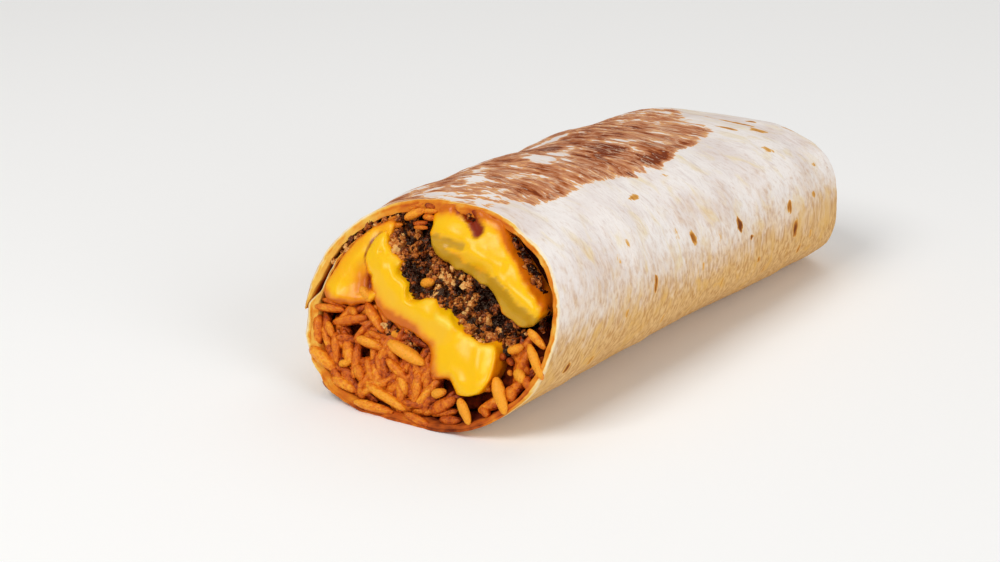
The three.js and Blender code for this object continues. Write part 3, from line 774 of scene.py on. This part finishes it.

# The grains that lie in front: both ends, width, distance behind the cut and tone, dark to yellow, which
# is partly each grain's colour and partly painted shade on the deeper ones.
GRAINS = [
    (-26.6, 9.4, -18.2, 6.3, 3.3, 0.3, 0.62), (-18.8, 4.9, -11.2, 3.4, 2.4, 0.3, 0.64),
    (-21, 3.9, -12, 1.8, 2.4, 1.4, 0.22), (-11.6, 1.6, -1, 1.5, 2.4, -0.4, 0.62),
    (-9.8, 5.3, 1.8, 2.5, 2.5, 0.1, 0.74), (-11.2, 4.5, -9.2, 2.4, 2.3, 0.9, 0.5),
    (-18.1, 7.5, -15.1, 8.5, 2.1, 0.5, 0.88), (-15.9, 6.4, -14.4, 5.3, 1.4, 0.9, 0.6),
    (-15.7, 13.3, -8.1, 12.6, 2.6, 0.2, 0.68), (-13.2, 15, -8.8, 14.3, 1.9, 0.9, 0.55),
    (-7.7, 14.2, 3, 11.7, 3.4, -0.3, 0.92), (-7.4, 16.1, -5.1, 15.3, 1.9, 0.9, 0.85),
    (-16, 20.5, -9.4, 15.5, 2.8, 0.3, 0.5), (-18.7, 23, -14.7, 20.7, 2.6, -0.2, 0.88),
    (-28.8, 17.2, -20.6, 17.9, 2.0, 0.3, 0.56), (-27.4, 18.9, -20, 18.5, 1.7, 0.9, 0.44),
    (-23, 14.9, -14.4, 17.7, 2.6, 0.8, 0.5), (-19.6, 18.5, -17.4, 17.6, 1.9, 0.4, 0.64),
    (-24.4, 14.9, -21.5, 12.1, 2.2, 0.7, 0.7), (-27, 15.9, -24.6, 10.2, 3.2, 1.1, 0.46),
    (-19.7, 14.5, -16.4, 9.4, 2.6, 1.5, 0.36), (-21.4, 13.4, -18, 6.6, 2.8, 1.2, 0.46),
    (-16.1, 14.2, -15.1, 9.6, 1.8, 2.2, 0.22), (-14.9, 12.4, -13.3, 5.6, 2.3, 1.0, 0.52),
    (-13.8, 8.3, -10.8, 5.4, 2.6, 0.7, 0.62), (-11.8, 10.2, -8.2, 5.8, 2.4, 1.2, 0.54),
    (-9.5, 11.8, -6.3, 6.8, 2.4, 1.4, 0.44), (-6.8, 11, 1.2, 7.5, 2.7, 0.9, 0.52),
    (-6.9, 8.9, 0.8, 5.3, 2.3, 1.8, 0.28), (-3.6, 16.2, 2.8, 15, 2.3, 1.6, 0.16),
    (2.3, 10.2, 3.6, 3.4, 2.4, 0.6, 0.56), (4.6, 10.7, 5.4, 5.8, 2.1, 1.1, 0.5),
    (6.7, 6.6, 10.1, 7.9, 2.2, 0.0, 0.86), (4.5, 6.5, 7.4, 8.1, 1.8, 0.8, 0.6),
    (5.2, 5.4, 8.8, 5.9, 2.2, 1.5, 0.2), (8, 3.3, 12.9, 7.1, 2.8, 0.6, 0.38),
    (13.5, 7.3, 17.9, 2.9, 2.4, -0.2, 0.88), (10.4, 2.5, 15.6, 3.4, 2.2, 0.9, 0.34),
    (1.6, 1.9, 8.8, 0.9, 2.0, 0.2, 0.42), (20.3, 12.8, 25.3, 6.5, 2.9, -0.4, 0.92),
    (19.5, 6.9, 21.7, 5.3, 2.3, 0.9, 0.46), (24.5, 11.8, 25.9, 9, 3.2, 0.8, 0.42),
    (24.7, 14.8, 27.1, 13.1, 3.0, 0.0, 0.86), (27.3, 14.2, 29.3, 12, 2.7, 0.8, 0.4),
    (25.7, 20.2, 31.5, 14.3, 2.5, -0.2, 0.82), (24.6, 22.7, 30, 19.9, 2.1, 0.1, 0.76),
    (21.4, 17.9, 25.1, 19.4, 2.3, 0.1, 0.78), (20, 17, 21.6, 16.2, 1.7, 1.2, 0.34),
    (22, 16.6, 23.6, 15.6, 1.6, 1.4, 0.3), (23, 14.5, 24, 13.7, 1.2, 0.6, 0.7),
    (-12.9, 37.6, -8.4, 40.2, 2.5, -0.1, 0.66), (-10.4, 37, -6.8, 37.9, 1.3, 0.3, 0.36),
    (-15.6, 35.7, -13, 36.5, 1.5, 0.3, 0.66), (-9, 41, -5.8, 41, 1.3, 0.1, 0.2),
    (-9.6, 39.8, -5.2, 40.4, 1.7, 0.4, 0.68), (-8.6, 38.8, -5.2, 39, 1.7, 0.7, 0.64),
    (-10, 36.4, -6.4, 36.9, 1.1, 0.2, 0.7), (-12.8, 39.4, -9.2, 41.2, 1.6, 0.5, 0.6),
    (-3.9, 26.1, -0.9, 27.3, 2.5, 0.4, 0.84),
]
# Gaps between the grains: place and size.
GAPS = [
    (22, 14.2, 2.4), (20, 16.6, 1.6), (17.8, 7.6, 2.8), (-16.2, 15, 1.6), (-11.8, 10.4, 1.3),
    (-6.5, 3.1, 1.6), (10.2, 9.2, 2), (0.6, 0.8, 1.2), (-22, 11, 1.2), (-24.6, 16, 1), (13.4, 4.2, 2.8),
    (21, 9.4, 1.6),
]


def axes_along(direction, length, width, roll):
    """Rows that turn and stretch a small shape along a direction."""
    direction = Vector(direction).normalized()
    turned = direction.to_track_quat("X", "Z") @ Quaternion((1, 0, 0), roll)
    axes = np.array(turned.to_matrix()).T
    return axes * np.array([[length], [width], [width]])


def inside_outline(corners, x, z):
    """Whether a place in the cut lies inside an outline."""
    hit = False
    for (ax, az), (bx, bz) in zip(corners, corners[1:] + corners[:1]):
        if (az > z) != (bz > z) and x < ax + (z - az) / (bz - az) * (bx - ax):
            hit = not hit
    return hit


def grain_between(start, end, width, tone):
    length = float(np.linalg.norm(end - start))
    axes = axes_along(end - start, length, width, random.uniform(0, FULL_TURN))
    return random.randrange(GRAIN_SHAPES), axes, (start + end) / 2, tone


def grain_in_face(x1, z1, x2, z2, width, behind, tone, tilt):
    """A grain near the cut, whose second end stands out of it by twice the tilt more."""
    start, end = in_face(x1, z1, behind + tilt), in_face(x2, z2, behind - tilt)
    return grain_between(start, end, width, tone)


def in_gap(x, z):
    return any(math.hypot(x - gx, z - gz) < size for gx, gz, size in GAPS)


def wall_share(x, z):
    """How near a place in the cut is to the skin: 0 in the middle, 1 on the skin."""
    across, upright = np.abs(np.asarray(x) / HALF_WIDTH), np.abs(np.asarray(z) / HALF_HEIGHT - UNDERSIDE)
    return (across ** ROUNDNESS + upright ** ROUNDNESS) ** (1 / ROUNDNESS)


copies = [grain_in_face(*row, tilt=random.uniform(-0.4, 0.4)) for row in GRAINS]

# The grains behind them fill the heap, and most of them lie across the cut.
FILLERS = 180
# Spans to draw from, where the reach is half the length.
REACH, WIDTH, BEHIND, TONE = (3.4, 4.5), (2.3, 3), (1.4, 3.6), (0.24, 0.66)
while len(copies) < len(GRAINS) + FILLERS:
    x, z = random.uniform(-29, 29), random.uniform(2, 23)
    lie, reach = random.uniform(0, math.pi), random.uniform(*REACH)
    dx, dz = reach * math.cos(lie), reach * math.sin(lie)
    if any(in_gap(x + k * dx, z + k * dz) for k in (-0.8, 0, 0.8)):
        continue
    if not all(inside_outline(RICE, x + k * dx, z + k * dz) for k in (-0.7, 0.7)):
        continue
    tone, width, behind = (random.uniform(*span) for span in (TONE, WIDTH, BEHIND))
    tilt = random.uniform(-1.2, 1.2)
    copies.append(grain_in_face(x - dx, z - dz, x + dx, z + dz, width, behind, tone, tilt))

# And a row lies along the wall, round the bottom of the roll.
WALL_GRAINS = 46
ROW_STARTS, ROW_ENDS = 190, 348  # in degrees, from the seam's side to the right
WALL_REACH, WALL_WIDTH, WALL_BEHIND, WALL_TONE = (2.6, 4), (2, 2.6), (0.8, 3), (0.22, 0.62)
for number in range(WALL_GRAINS):
    around = mix(ROW_STARTS, ROW_ENDS, (number + random.uniform(-0.3, 0.3)) / WALL_GRAINS) * DEGREE
    reach = random.uniform(*WALL_REACH)
    depth = float(sheet_inside(around - FULL_TURN, 0)) + random.uniform(0.5, 1.5)
    x = signed_power(math.cos(around), 2 / ROUNDNESS) * (HALF_WIDTH - depth)
    up = float(flattened(signed_power(math.sin(around), 2 / ROUNDNESS)))
    z = HALF_HEIGHT * UNDERSIDE + up * (HALF_HEIGHT - depth)
    dx = -math.sin(around) * HALF_WIDTH
    dz = math.cos(around) * HALF_HEIGHT
    scale = reach / math.hypot(dx, dz)
    lean = random.uniform(-0.5, 0.5)
    tone, width, behind = (random.uniform(*span) for span in (WALL_TONE, WALL_WIDTH, WALL_BEHIND))
    if in_gap(x, z):
        continue
    start = place(x - dx * scale, z - dz * scale + lean, behind)
    end = place(x + dx * scale, z + dz * scale + lean, behind + random.uniform(-0.6, 0.6))
    copies.append(grain_between(start, end, width, tone))
rice_grains = strewn("rice_grains", grain_shapes, copies)

kernel_finish = new_finish(
    "chilli_rice", 0.38, Subsurface_Weight=0.12, Subsurface_Radius=(1.5 * MM, 0.8 * MM, 0.4 * MM),
    Specular_IOR_Level=0.4, Specular_Tint=(1, 0.76, 0.52, 1),
)
where = in_solid(kernel_finish)
own_place = laid_on(kernel_finish, "own_place", output=1)
patches = grain(where, 1.3, detail=3)
ridges = add_node(own_place.id_data, "TexNoise", {"Vector": own_place, "Scale": 14, "Detail": 3})
specks = times(between(grain(where, 0.38, detail=2), 0.62, 0.74), 0.55)
rice_colours = ramp(uneven(laid_on(kernel_finish, "tone"), (patches, 0.8), (ridges, 0.7)), [
    (0.05, (84, 22, 6)), (0.26, (150, 56, 14)), (0.48, (200, 90, 22)), (0.74, (230, 124, 28)),
    (1, (248, 162, 44)),
])
connect("Base Color", blended(specks, rice_colours, (140, 56, 6)))
bumped(ridges, 0.3)
rice_grains.data.materials.append(kernel_finish)
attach(rice_grains, "root")

core_finish = new_finish("sauced_rice", 0.8, Specular_IOR_Level=0.1)
lumps = grain(in_solid(core_finish), 2, detail=3)
connect("Base Color", ramp(lumps, [(0.35, (60, 18, 6)), (0.7, (140, 54, 16))]))
bumped(lumps, 0.8)
rice_core.data.materials.append(core_finish)
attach(rice_core, "root")
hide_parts("rice")

# ---- Beef ----
# Minced beef, fried dark and crumbly, in a band across the middle and a thin strip under the wall
# on the right. Each heap is a dark core that runs through the roll, with its crumbs on the front.
BEEF = [
    (-18, 36.4), (-12.4, 38.2), (-8.4, 37.6), (-5, 37.6), (-4.4, 34.4), (-1.6, 32.4), (3, 31), (11, 29.4),
    (14.6, 27.6), (18, 24.6), (25, 22), (24.4, 17.4), (20, 17), (12, 19), (6, 21), (1, 23.5), (-5, 22.4),
    (-9, 27), (-14.6, 33.4),
]
BEEF_SIDE = [
    (12.4, 39.4), (18, 36.6), (23.4, 32.4), (27.4, 27.6), (28.6, 23), (27.2, 23.4), (26, 28), (20, 33),
    (14, 37),
]
# The border that the band shares with the cheese below it.
ON_CHEESE = [
    (-14.8, 33), (-12.6, 31), (-9.9, 30), (-10, 27.6), (-8, 26.4), (-6.5, 25.6), (-5.6, 23.4),
    (-3.7, 22.8), (-1.8, 23.8), (0.8, 24.6), (2.7, 23), (5, 22.4), (7.5, 21), (9.4, 19.7), (12.2, 19.3),
    (15.2, 18.5),
]
beef_core = straight_filling("beef_core", BEEF, 6)
melted(beef_core, 1.2, 3)
rolled_in(beef_core)
beef_side_core = straight_filling("beef_side_core", BEEF_SIDE, 4)
rolled_in(beef_side_core)

CRUMB_SHAPES = 9
RAGGEDNESS = 0.9
crumb_shapes = []
for number in range(CRUMB_SHAPES):
    crumb = new_ball(7, 6)
    for vertex in crumb.data.vertices:
        lump = noise.noise(vertex.co * 4.2 + Vector((number * 9.1, 0, 0)))
        vertex.co = vertex.co * (1 + RAGGEDNESS * lump)
    crumb_shapes.append(take_shape(crumb))

# Where crumbs stand out browned and lit, painted lighter, and where the heap falls back into shade,
# painted darker: place, radius, amount.
BROWNED_AND_LIT = [
    (-0.8, 28.9, 2.1, 0.46), (3.4, 28.8, 2, 0.38), (7.2, 28.9, 1.6, 0.38), (7.8, 25, 2.4, 0.5),
    (10.2, 23.2, 1.4, 0.4), (13.1, 22.5, 2, 0.5), (-12.4, 32.4, 2, 0.4), (-14.6, 35.6, 1.3, 0.36),
    (1.4, 26.4, 1.1, 0.3), (-7, 30.8, 1, 0.24), (21, 19.4, 2.8, 0.22), (17, 19.6, 1.6, 0.2),
    (-4.8, 28.7, 0.9, 0.26),
]
SHADED = [
    (-4, 24.9, 2, 3.4), (-0.5, 25.2, 0.9, 2.2), (2.9, 25.7, 1.1, 2.4), (5.9, 26.9, 1.2, 3),
    (9.4, 27.1, 0.9, 2.4), (12.9, 26.4, 2.5, 2.8), (12.4, 24.1, 0.8, 1.6), (7.2, 22.9, 1.1, 2.2),
    (17.3, 23.1, 1.8, 3), (11.7, 21.3, 1, 1.8), (22.4, 22.3, 1, 2.2), (-10.3, 33.5, 1.3, 2.4),
    (-0.3, 30.7, 1.1, 1.8), (-7.8, 27.7, 1.5, 2.8), (-6.8, 36.5, 1.5, 2.8), (-12.9, 36.2, 0.8, 2),
    (-5.3, 28, 0.8, 1.4), (3.4, 23.7, 0.8, 1),
]


def marked(marks, x, z):
    """How much a list of soft round marks adds at a place in the cut."""
    return sum(
        amount * math.exp(-(((x - mx) ** 2 + (z - mz) ** 2) / radius ** 2) ** 2)
        for mx, mz, radius, amount in marks
    )


CLUMPS = [(0.4, 1.2, 0), (0.9, 0.9, 5)]  # fineness, height and seed of the heap's lumps
PROUD_OF_CUT = 0.9  # how far out of the cut crumbs lie where they meet the cheese
BROWN_TONE = 0.22
GLINT_SHARE = 0.08  # of the crumbs outside the shade that are painted lighter, as wet glints


def crumbs(corners, count, front, smallest, largest, seed, tone_shift=0):
    """Crumbs strewn over the front of a heap."""
    random.seed(seed)
    spots = []
    low, high = np.min(corners, axis=0), np.max(corners, axis=0)
    while len(spots) < count:
        x, z = random.uniform(low[0], high[0]), random.uniform(low[1], high[1])
        if not inside_outline(corners, x, z):
            continue
        size = mix(smallest, largest, random.random() ** 2)
        heap = sum(
            height * noise.noise(Vector((x, z, seed + shift)) * fineness)
            for fineness, height, shift in CLUMPS
        )
        lit, shaded = marked(BROWNED_AND_LIT, x, z), marked(SHADED, x, z)
        rises = float(distance_to(ON_CHEESE, x, z)) - PROUD_OF_CUT
        behind = min(front + heap + 0.7 * shaded - 1.6 * lit, rises) + random.uniform(-0.5, 1.2)
        if behind > 0.8 and wall_share(x - DRAG_ACROSS * behind, z - DRAG_UP * behind) > 0.9:
            continue
        direction = [random.gauss(0, 1) for _ in range(3)]
        axes = axes_along(direction, size * random.uniform(1, 1.7), size, random.uniform(0, FULL_TURN))
        # The tone is painted lighter where lit, and darker in the shade and deeper in the heap.
        tone = BROWN_TONE + tone_shift + lit - 0.24 * shaded - 0.16 * heap + random.uniform(-0.44, 0.44)
        # A few crumbs outside the shade are painted much lighter, as glints.
        if shaded < 0.4 and random.random() < GLINT_SHARE:
            tone += 0.45
        spots.append((random.randrange(CRUMB_SHAPES), axes, in_face(x, z, behind), tone))
    return spots


# Some crumbs have worked their way out of the band: between the rice and the cheese, under the
# wall at the top, and along the flap.
STRAY = [(-11.5, 15), (-10, 18), (-5, 17.8), (0, 16), (2.4, 13.6), (-1, 13.6), (-6, 14.6)]
TOP_BITS = [(-0.8, 42.2), (2, 42), (4.4, 40.9), (6, 39.4), (4, 39.6), (1.6, 40.8), (-0.8, 41.4)]
FLAP_BITS = [
    (-27.8, 26.4), (-25.4, 31), (-19.6, 36.4), (-14.8, 38.6), (-10, 39.8), (-10.4, 38.4), (-14.4, 37.2),
    (-18.6, 35.2), (-23.8, 30.2), (-26.6, 26),
]
beef_copies = crumbs(BEEF, 2000, 2.8, 0.5, 1.9, 3)
beef_copies += crumbs(STRAY, 110, 1.6, 0.6, 1.7, 6, tone_shift=-0.05)
beef_copies += crumbs(TOP_BITS, 12, 0.9, 0.5, 1.1, 8, tone_shift=-0.1)
beef_copies += crumbs(FLAP_BITS, 150, 0.9, 0.5, 1.4, 9, tone_shift=0.1)
beef_crumbs = strewn("beef_crumbs", crumb_shapes, beef_copies)
beef_side_crumbs = strewn("beef_side_crumbs", crumb_shapes, crumbs(BEEF_SIDE, 300, 2.2, 0.5, 1.8, 4))
for piece in (beef_crumbs, beef_side_crumbs):
    piece.data.shade_flat()

beef_finish = new_finish("fried_mince", 0.28, Specular_IOR_Level=0.55, Specular_Tint=(1, 0.74, 0.5, 1))
fibres = grain(in_solid(beef_finish), 0.55, detail=3)
connect("Base Color", ramp(uneven(laid_on(beef_finish, "tone"), (fibres, 1.4)), [
    (0.04, (38, 10, 2)), (0.26, (110, 46, 14)), (0.5, (184, 98, 38)), (0.76, (216, 136, 62)),
    (1, (242, 188, 112)),
]))
bumped(fibres, 0.4)
# The cores are painted near black: shade in the depths of the heap, between and behind the crumbs.
mince_core_shade_finish = new_finish(
    "shaded_mince", 0.9, Specular_IOR_Level=0.05, Base_Color=colour(40, 14, 4)
)
beef_pieces = (
    (beef_crumbs, beef_finish, []), (beef_side_crumbs, beef_finish, []),
    (beef_core, mince_core_shade_finish, ["beef"]), (beef_side_core, mince_core_shade_finish, ["beef_side"]),
)
for piece, finish, nodes in beef_pieces:
    piece.data.materials.append(finish)
    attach(piece, "root")
    if nodes:
        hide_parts(*nodes)

# ---- Cheese ----
# Warm cheese sauce, poured over the filling before rolling: one lobe between rice and beef, one
# above the beef and one along the inner flap. Each runs through the roll and bulges at the cut.
LOWER_CHEESE = [(-16.3, 34.8)] + ON_CHEESE + [
    (18.6, 18.4), (20, 14), (18.8, 9.8), (15.6, 8), (12.2, 8.2), (10, 10.4), (7, 9.6), (4.6, 11),
    (3.2, 14.8), (-1.5, 16.8), (-9, 18.2), (-14.2, 21), (-17.2, 25), (-19.6, 29), (-18.8, 32.4),
]
UPPER_CHEESE = [
    (-6.2, 40.2), (-4.8, 41.8), (-1, 42.3), (5, 42), (10.5, 40.6), (13.4, 37.6), (16.8, 35), (21.6, 31),
    (26.2, 27.4), (26.4, 24.6), (24, 22.7), (20, 23.4), (17.4, 24.4), (15.4, 26.2), (13.4, 28),
    (10.2, 28.8), (7.2, 29.9), (3.7, 30.3), (0.6, 31.2), (-2, 31.9), (-4.3, 33.6), (-5.6, 35.7),
    (-5.7, 38),
]
CHEESE_FOLD = [
    (-28, 20.4), (-27.2, 24.4), (-25.2, 29.2), (-22, 33.1), (-18.4, 35.9), (-15, 36.4), (-15.4, 32),
    (-17.2, 28.8), (-15.4, 24.8), (-13.8, 21.8), (-16.6, 19.8), (-21.5, 18.5), (-26, 18.6),
]

# Thicker ridges and thinner hollows of each lobe: a path in the cut, its width and its height.
LOWER_RELIEF = [
    ([(-14.5, 27.5), (-8, 24), (0, 21.4), (6, 20.2)], 2.4, 1.5),
    ([(5, 20), (9, 17), (14, 13), (16, 12)], 4, 1), ([(-17, 32), (-14.5, 28)], 2.6, 0.9),
    ([(-15.8, 30.7), (-15.7, 30.6)], 0.45, -0.9), ([(-12.6, 29), (-11, 27), (-7, 25.4)], 0.9, 0.6),
    ([(3, 21.2), (6.4, 20.3)], 0.9, 0.5), ([(-14, 22), (-8, 19.2), (-2, 18)], 1.8, -1.1),
    ([(3.6, 15.4), (5, 12)], 1.8, -0.9), ([(-17, 25.2), (-16.4, 23.4)], 1, -1.4),
    ([(15, 16.4), (16, 13.4)], 1.3, 0.4), ([(9, 12.4), (13, 10.2)], 1.2, 0.5),
]
# Where each lobe's edge runs out thin and turns darker orange: paths and widths. Along the lower lobe's
# lower left this is partly painted shade.
LOWER_EDGE = [
    ([(-18.6, 27), (-17.2, 24.2), (-14, 21), (-9, 18.6)], 1.2),
    ([(-9, 18.6), (-1.5, 17), (3, 15.2), (4.6, 11.4)], 1.7),
    ([(4.8, 11.4), (7.2, 9.8), (10, 10.6), (12.4, 8.4)], 0.9),
]
UPPER_RELIEF = [
    ([(-8, 38), (-1, 37.4), (6, 36.2)], 1.8, 0.9), ([(4, 34.8), (9, 33.8), (14, 33.2)], 1.4, 1.2),
    ([(13, 31), (18.5, 29.2), (24, 26.6)], 1.8, 1.4), ([(-4, 35), (4, 35)], 0.8, -1.0),
    ([(-4, 32.4), (5, 30.8), (11, 29.8), (15, 27.6), (19.5, 24.6), (24, 23.4)], 1.7, -2.2),
    ([(-0.4, 42.2), (3, 40.9), (6, 38.7)], 1.1, -1.7), ([(-6.4, 41), (-5.8, 37)], 2.4, -1.5),
]
FOLD_EDGE = [([(-27.6, 20), (-26, 18.8), (-20, 18.8), (-17, 19.8)], 1.1)]
FOLD_RELIEF = [
    ([(-24.6, 22), (-22.8, 27), (-19.6, 31.5)], 1.8, 0.7), ([(-18.6, 22.4), (-20, 26)], 1.4, -0.5),
    ([(-24.4, 20), (-19, 20)], 1.4, 0.5), ([(-17, 25.2), (-16.4, 23.4)], 1, -1.6),
]
# Where the upper lobe's lower band, curling under, is painted olive as shade: paths and widths.
OLIVE_SHADE = [
    ([(-3.8, 34.9), (3.5, 35.1)], 0.8), ([(-3.9, 35), (-3, 32.9)], 1.3),
    ([(-2.6, 33), (1, 32.5), (4, 31.3)], 1.2), ([(4, 31.2), (7, 30.8), (10.3, 29.9)], 1),
    ([(10.3, 29.9), (13.4, 29.3), (16.6, 27.6)], 1.4),
    ([(16.6, 27.6), (19.2, 25.7), (22, 24.7), (25.2, 23.8)], 1.6),
]
UPPER_EDGE = [
    ([(-6.6, 40.6), (0, 42.4), (8, 41.6), (13, 38.4)], 1.4),
    ([(13, 38.4), (20, 32.6), (26.6, 27.6)], 0.7),
]
# Where folds and the crease are painted dark red, partly chilli sauce showing through and partly painted
# shade, and where crests are painted pale as highlights, partly frayed pale tips.
REDDENED_AND_SHADED = [
    ([(-0.6, 42.2), (1.2, 41.6), (3, 40.8)], 1), ([(3, 40.8), (4.6, 39.7), (6.2, 38.6)], 1.3),
    ([(-16.9, 24.9), (-16.4, 23.6)], 0.8),
    ([(-17.2, 25.2), (-19.3, 27.4), (-20.1, 29.4), (-19.6, 31.6), (-18, 34)], 0.1),
]
PALE_HIGHLIGHTS = [
    ([(9.6, 19.2), (12, 18.6), (17.4, 17.6)], 0.7), ([(3, 21.3), (6.4, 20.4)], 0.7),
    ([(17.2, 16), (17.6, 13.6)], 0.5), ([(-12.8, 30.2), (-10.6, 29.4)], 0.3),
    ([(-1.2, 23.6), (1.2, 23.8)], 0.3),
]
IN_SHEET = 0.88  # a filling stays within this share of the section, past the cut
SWELL = 1.6  # how far a lobe bulges out of the cut
SWELL_DEPTH = 8  # and from how far behind it
SAUCE_RELIEF = [(3.4, 0.35, 0), (1.3, 0.1, 1)]  # size, height and seed
FRAY = 0.35  # how far its edge wanders


def painted(paths, x, z, softness):
    """How much of a paint a place in the cut has, from the paths it was laid along and their widths."""
    uneven_edge = 0.5 * bumps(np.stack([x, 0 * x, z], axis=-1), 1.1, seed=11)
    layers = [
        smooth((width + uneven_edge - distance_to(path, x, z)) / softness + 0.5) for path, width in paths
    ]
    return np.max(layers, axis=0) if layers else 0 * x


def rising(relief, x, z, spread=1):
    """How high a lobe's ridges and hollows rise at places in the cut."""
    return sum(
        rise * np.exp(-(distance_to(path, x, z) / width / spread) ** 2) for path, width, rise in relief
    )


def cheese(name, node, corners, front, relief, thin_edge, olive_shade=(), tired=0.0):
    """A lobe of sauce that bulges at the cut and is darker orange where its edge runs out thin, and on
    its sides and in its hollows as painted shade.
    """
    made = straight_filling(name, corners, front)
    melted(made, 0.45, 7)
    x, along, z = read_points(made).T
    border = drawn_outline(corners)
    inward = distance_to(np.vstack([border, border[:1]]), x, z)
    near = 1 - smooth((along - front) / SWELL_DEPTH)
    held = smooth((wall_share(x, z) - 0.84) / 0.08)
    thin = painted(thin_edge, x, z, 2.4)
    rounding = np.clip(inward / (1.1 + 2 * thin) + held, 0, 1)
    height = SWELL * np.sqrt(1 - (1 - rounding) ** 2) * (1 - 0.6 * held) + rising(relief, x, z)
    flat_place = np.stack([x, 0 * x, z], axis=-1)
    height += rough(flat_place, SAUCE_RELIEF)
    fray = near * (1 - smooth(inward / 2)) * FRAY
    whole_place = np.stack([x, along, z], axis=-1)
    x = x + fray * bumps(whole_place, 2, seed=2)
    z = z + fray * bumps(whole_place, 2, seed=3)
    pushed = near * height
    room = mix(1, IN_SHEET, smooth((along - front - 1) / 5))
    squeeze = np.minimum(1, room / np.maximum(wall_share(x, z), 0.1))
    x = x * squeeze
    z = HALF_HEIGHT * UNDERSIDE + (z - HALF_HEIGHT * UNDERSIDE) * squeeze
    write_points(made, place(x + DRAG_ACROSS * pushed, z + DRAG_UP * pushed, along - pushed))

    # Its sides and hollows are painted a darker orange than its front and ridges, as shade.
    facing = np.zeros(len(x) * 3)
    made.data.vertices.foreach_get("normal", facing)
    sideways = smooth((facing[1::3] + 0.5) / 0.4)
    thinned_and_shaded = tired + 0.5 * (1 - smooth(inward / 0.9)) + 0.8 * thin
    thinned_and_shaded += 0.4 * bumps(flat_place, 4, seed=4) + (0.34 - 0.6 * tired) * sideways
    thinned_and_shaded -= 0.35 * rising(relief, x, z, spread=1.4)
    add_attribute(made.data, "thinned_and_shaded", np.clip(thinned_and_shaded, 0, 1))
    add_attribute(made.data, "shaded", painted(olive_shade, x, z, 0.6) * near)
    add_attribute(made.data, "pale", painted(PALE_HIGHLIGHTS, x, z, 1.4) * near * (1 - sideways))
    add_attribute(made.data, "reddened_and_shaded", painted(REDDENED_AND_SHADED, x, z, 0.8) * near)
    made.data.materials.append(cheese_finish)
    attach(made, "root")
    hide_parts(node)


cheese_finish = new_finish(
    "cheese_sauce", 0.32, Subsurface_Weight=0.22, Subsurface_Radius=(3 * MM, 1.8 * MM, 0.5 * MM),
    Specular_IOR_Level=0.32,
)
thinned_and_shaded, shaded, reddened_and_shaded, pale = (
    laid_on(cheese_finish, name) for name in ("thinned_and_shaded", "shaded", "reddened_and_shaded", "pale")
)
# From yellow to dark orange where the sauce thins out and where shade is painted on its sides, hollows
# and lower edges.
sauce_colour = ramp(thinned_and_shaded, [
    (0, (255, 194, 0)), (0.4, (251, 176, 0)), (0.75, (240, 146, 4)), (1, (212, 108, 10)),
])
# Painted highlights on the crests, partly frayed pale tips, kept off the sides.
sauce_colour = blended(times(pale, 0.6), sauce_colour, (255, 226, 90))
# Painted olive shade on the upper lobe's lower band.
sauce_colour = blended(shaded, sauce_colour, (206, 156, 36))
# Dark red in the folds and the crease: partly sauce showing through, partly painted shade.
sauce_colour = blended(reddened_and_shaded, sauce_colour, (140, 44, 10))
connect("Base Color", sauce_colour)
cheese("cheese_lower_lobe", "cheese_lower", LOWER_CHEESE, -0.6, LOWER_RELIEF, LOWER_EDGE, tired=0.06)
cheese("cheese_upper_lobe", "cheese_upper", UPPER_CHEESE, -0.4, UPPER_RELIEF, UPPER_EDGE, OLIVE_SHADE)
cheese("cheese_fold_lobe", "cheese_fold", CHEESE_FOLD, 0.4, FOLD_RELIEF, FOLD_EDGE, tired=0.48)

# ---- Stage ----
# A pale table top, soft studio light from the front left and above, and the camera.
bpy.ops.object.select_all(action="DESELECT")
bpy.ops.mesh.primitive_plane_add(size=6)
table = bpy.context.object
table.name = "table"
table.data.materials.append(new_finish("pale_table", 0.9, Base_Color=colour(250, 249, 247)))


def seen_from(azimuth, elevation):
    """The way towards the eye or a lamp, from its azimuth and elevation in degrees."""
    azimuth, elevation = azimuth * DEGREE, elevation * DEGREE
    level = math.cos(elevation)
    return Vector((math.sin(azimuth) * level, -math.cos(azimuth) * level, math.sin(elevation)))


def set_up(name, data, location, away):
    """Puts a camera or lamp at a place and turns it back the way it lies away."""
    made = bpy.data.objects.new(name, data)
    made.location = location
    made.rotation_mode = "QUATERNION"
    made.rotation_quaternion = (-away).to_track_quat("-Z", "Y")
    bpy.context.scene.collection.objects.link(made)
    return made


AIM = Vector((-24.45, -0.91, 3.475)) * MM
DISTANCE = 540.76 * MM
camera_data = bpy.data.cameras.new("camera")
camera_data.sensor_width = 36
camera_data.lens = 79.2
camera_data.clip_start = 0.01
back = seen_from(36, 22)
bpy.context.scene.camera = set_up("camera", camera_data, AIM + back * DISTANCE, back)


def softbox(name, azimuth, elevation, distance, size, power):
    """A square lamp that looks at the burrito's middle."""
    lamp = bpy.data.lights.new(name, "AREA")
    lamp.size = size
    lamp.energy = power
    away = seen_from(azimuth, elevation)
    set_up(name, lamp, away * distance, away)


softbox("key_light", -15, 50, 1.0, 0.5, 5)
softbox("side_light", 85, 24, 1.1, 0.7, 4.2)
softbox("back_light", 190, 50, 1.2, 0.7, 2.5)
world = bpy.data.worlds.new("studio")
world.use_nodes = True
sky = world.node_tree.nodes["Background"]
sky.inputs["Color"].default_value = (1, 1, 1, 1)
sky.inputs["Strength"].default_value = 0.34
bpy.context.scene.world = world
bpy.context.scene.view_settings.view_transform = "Standard"
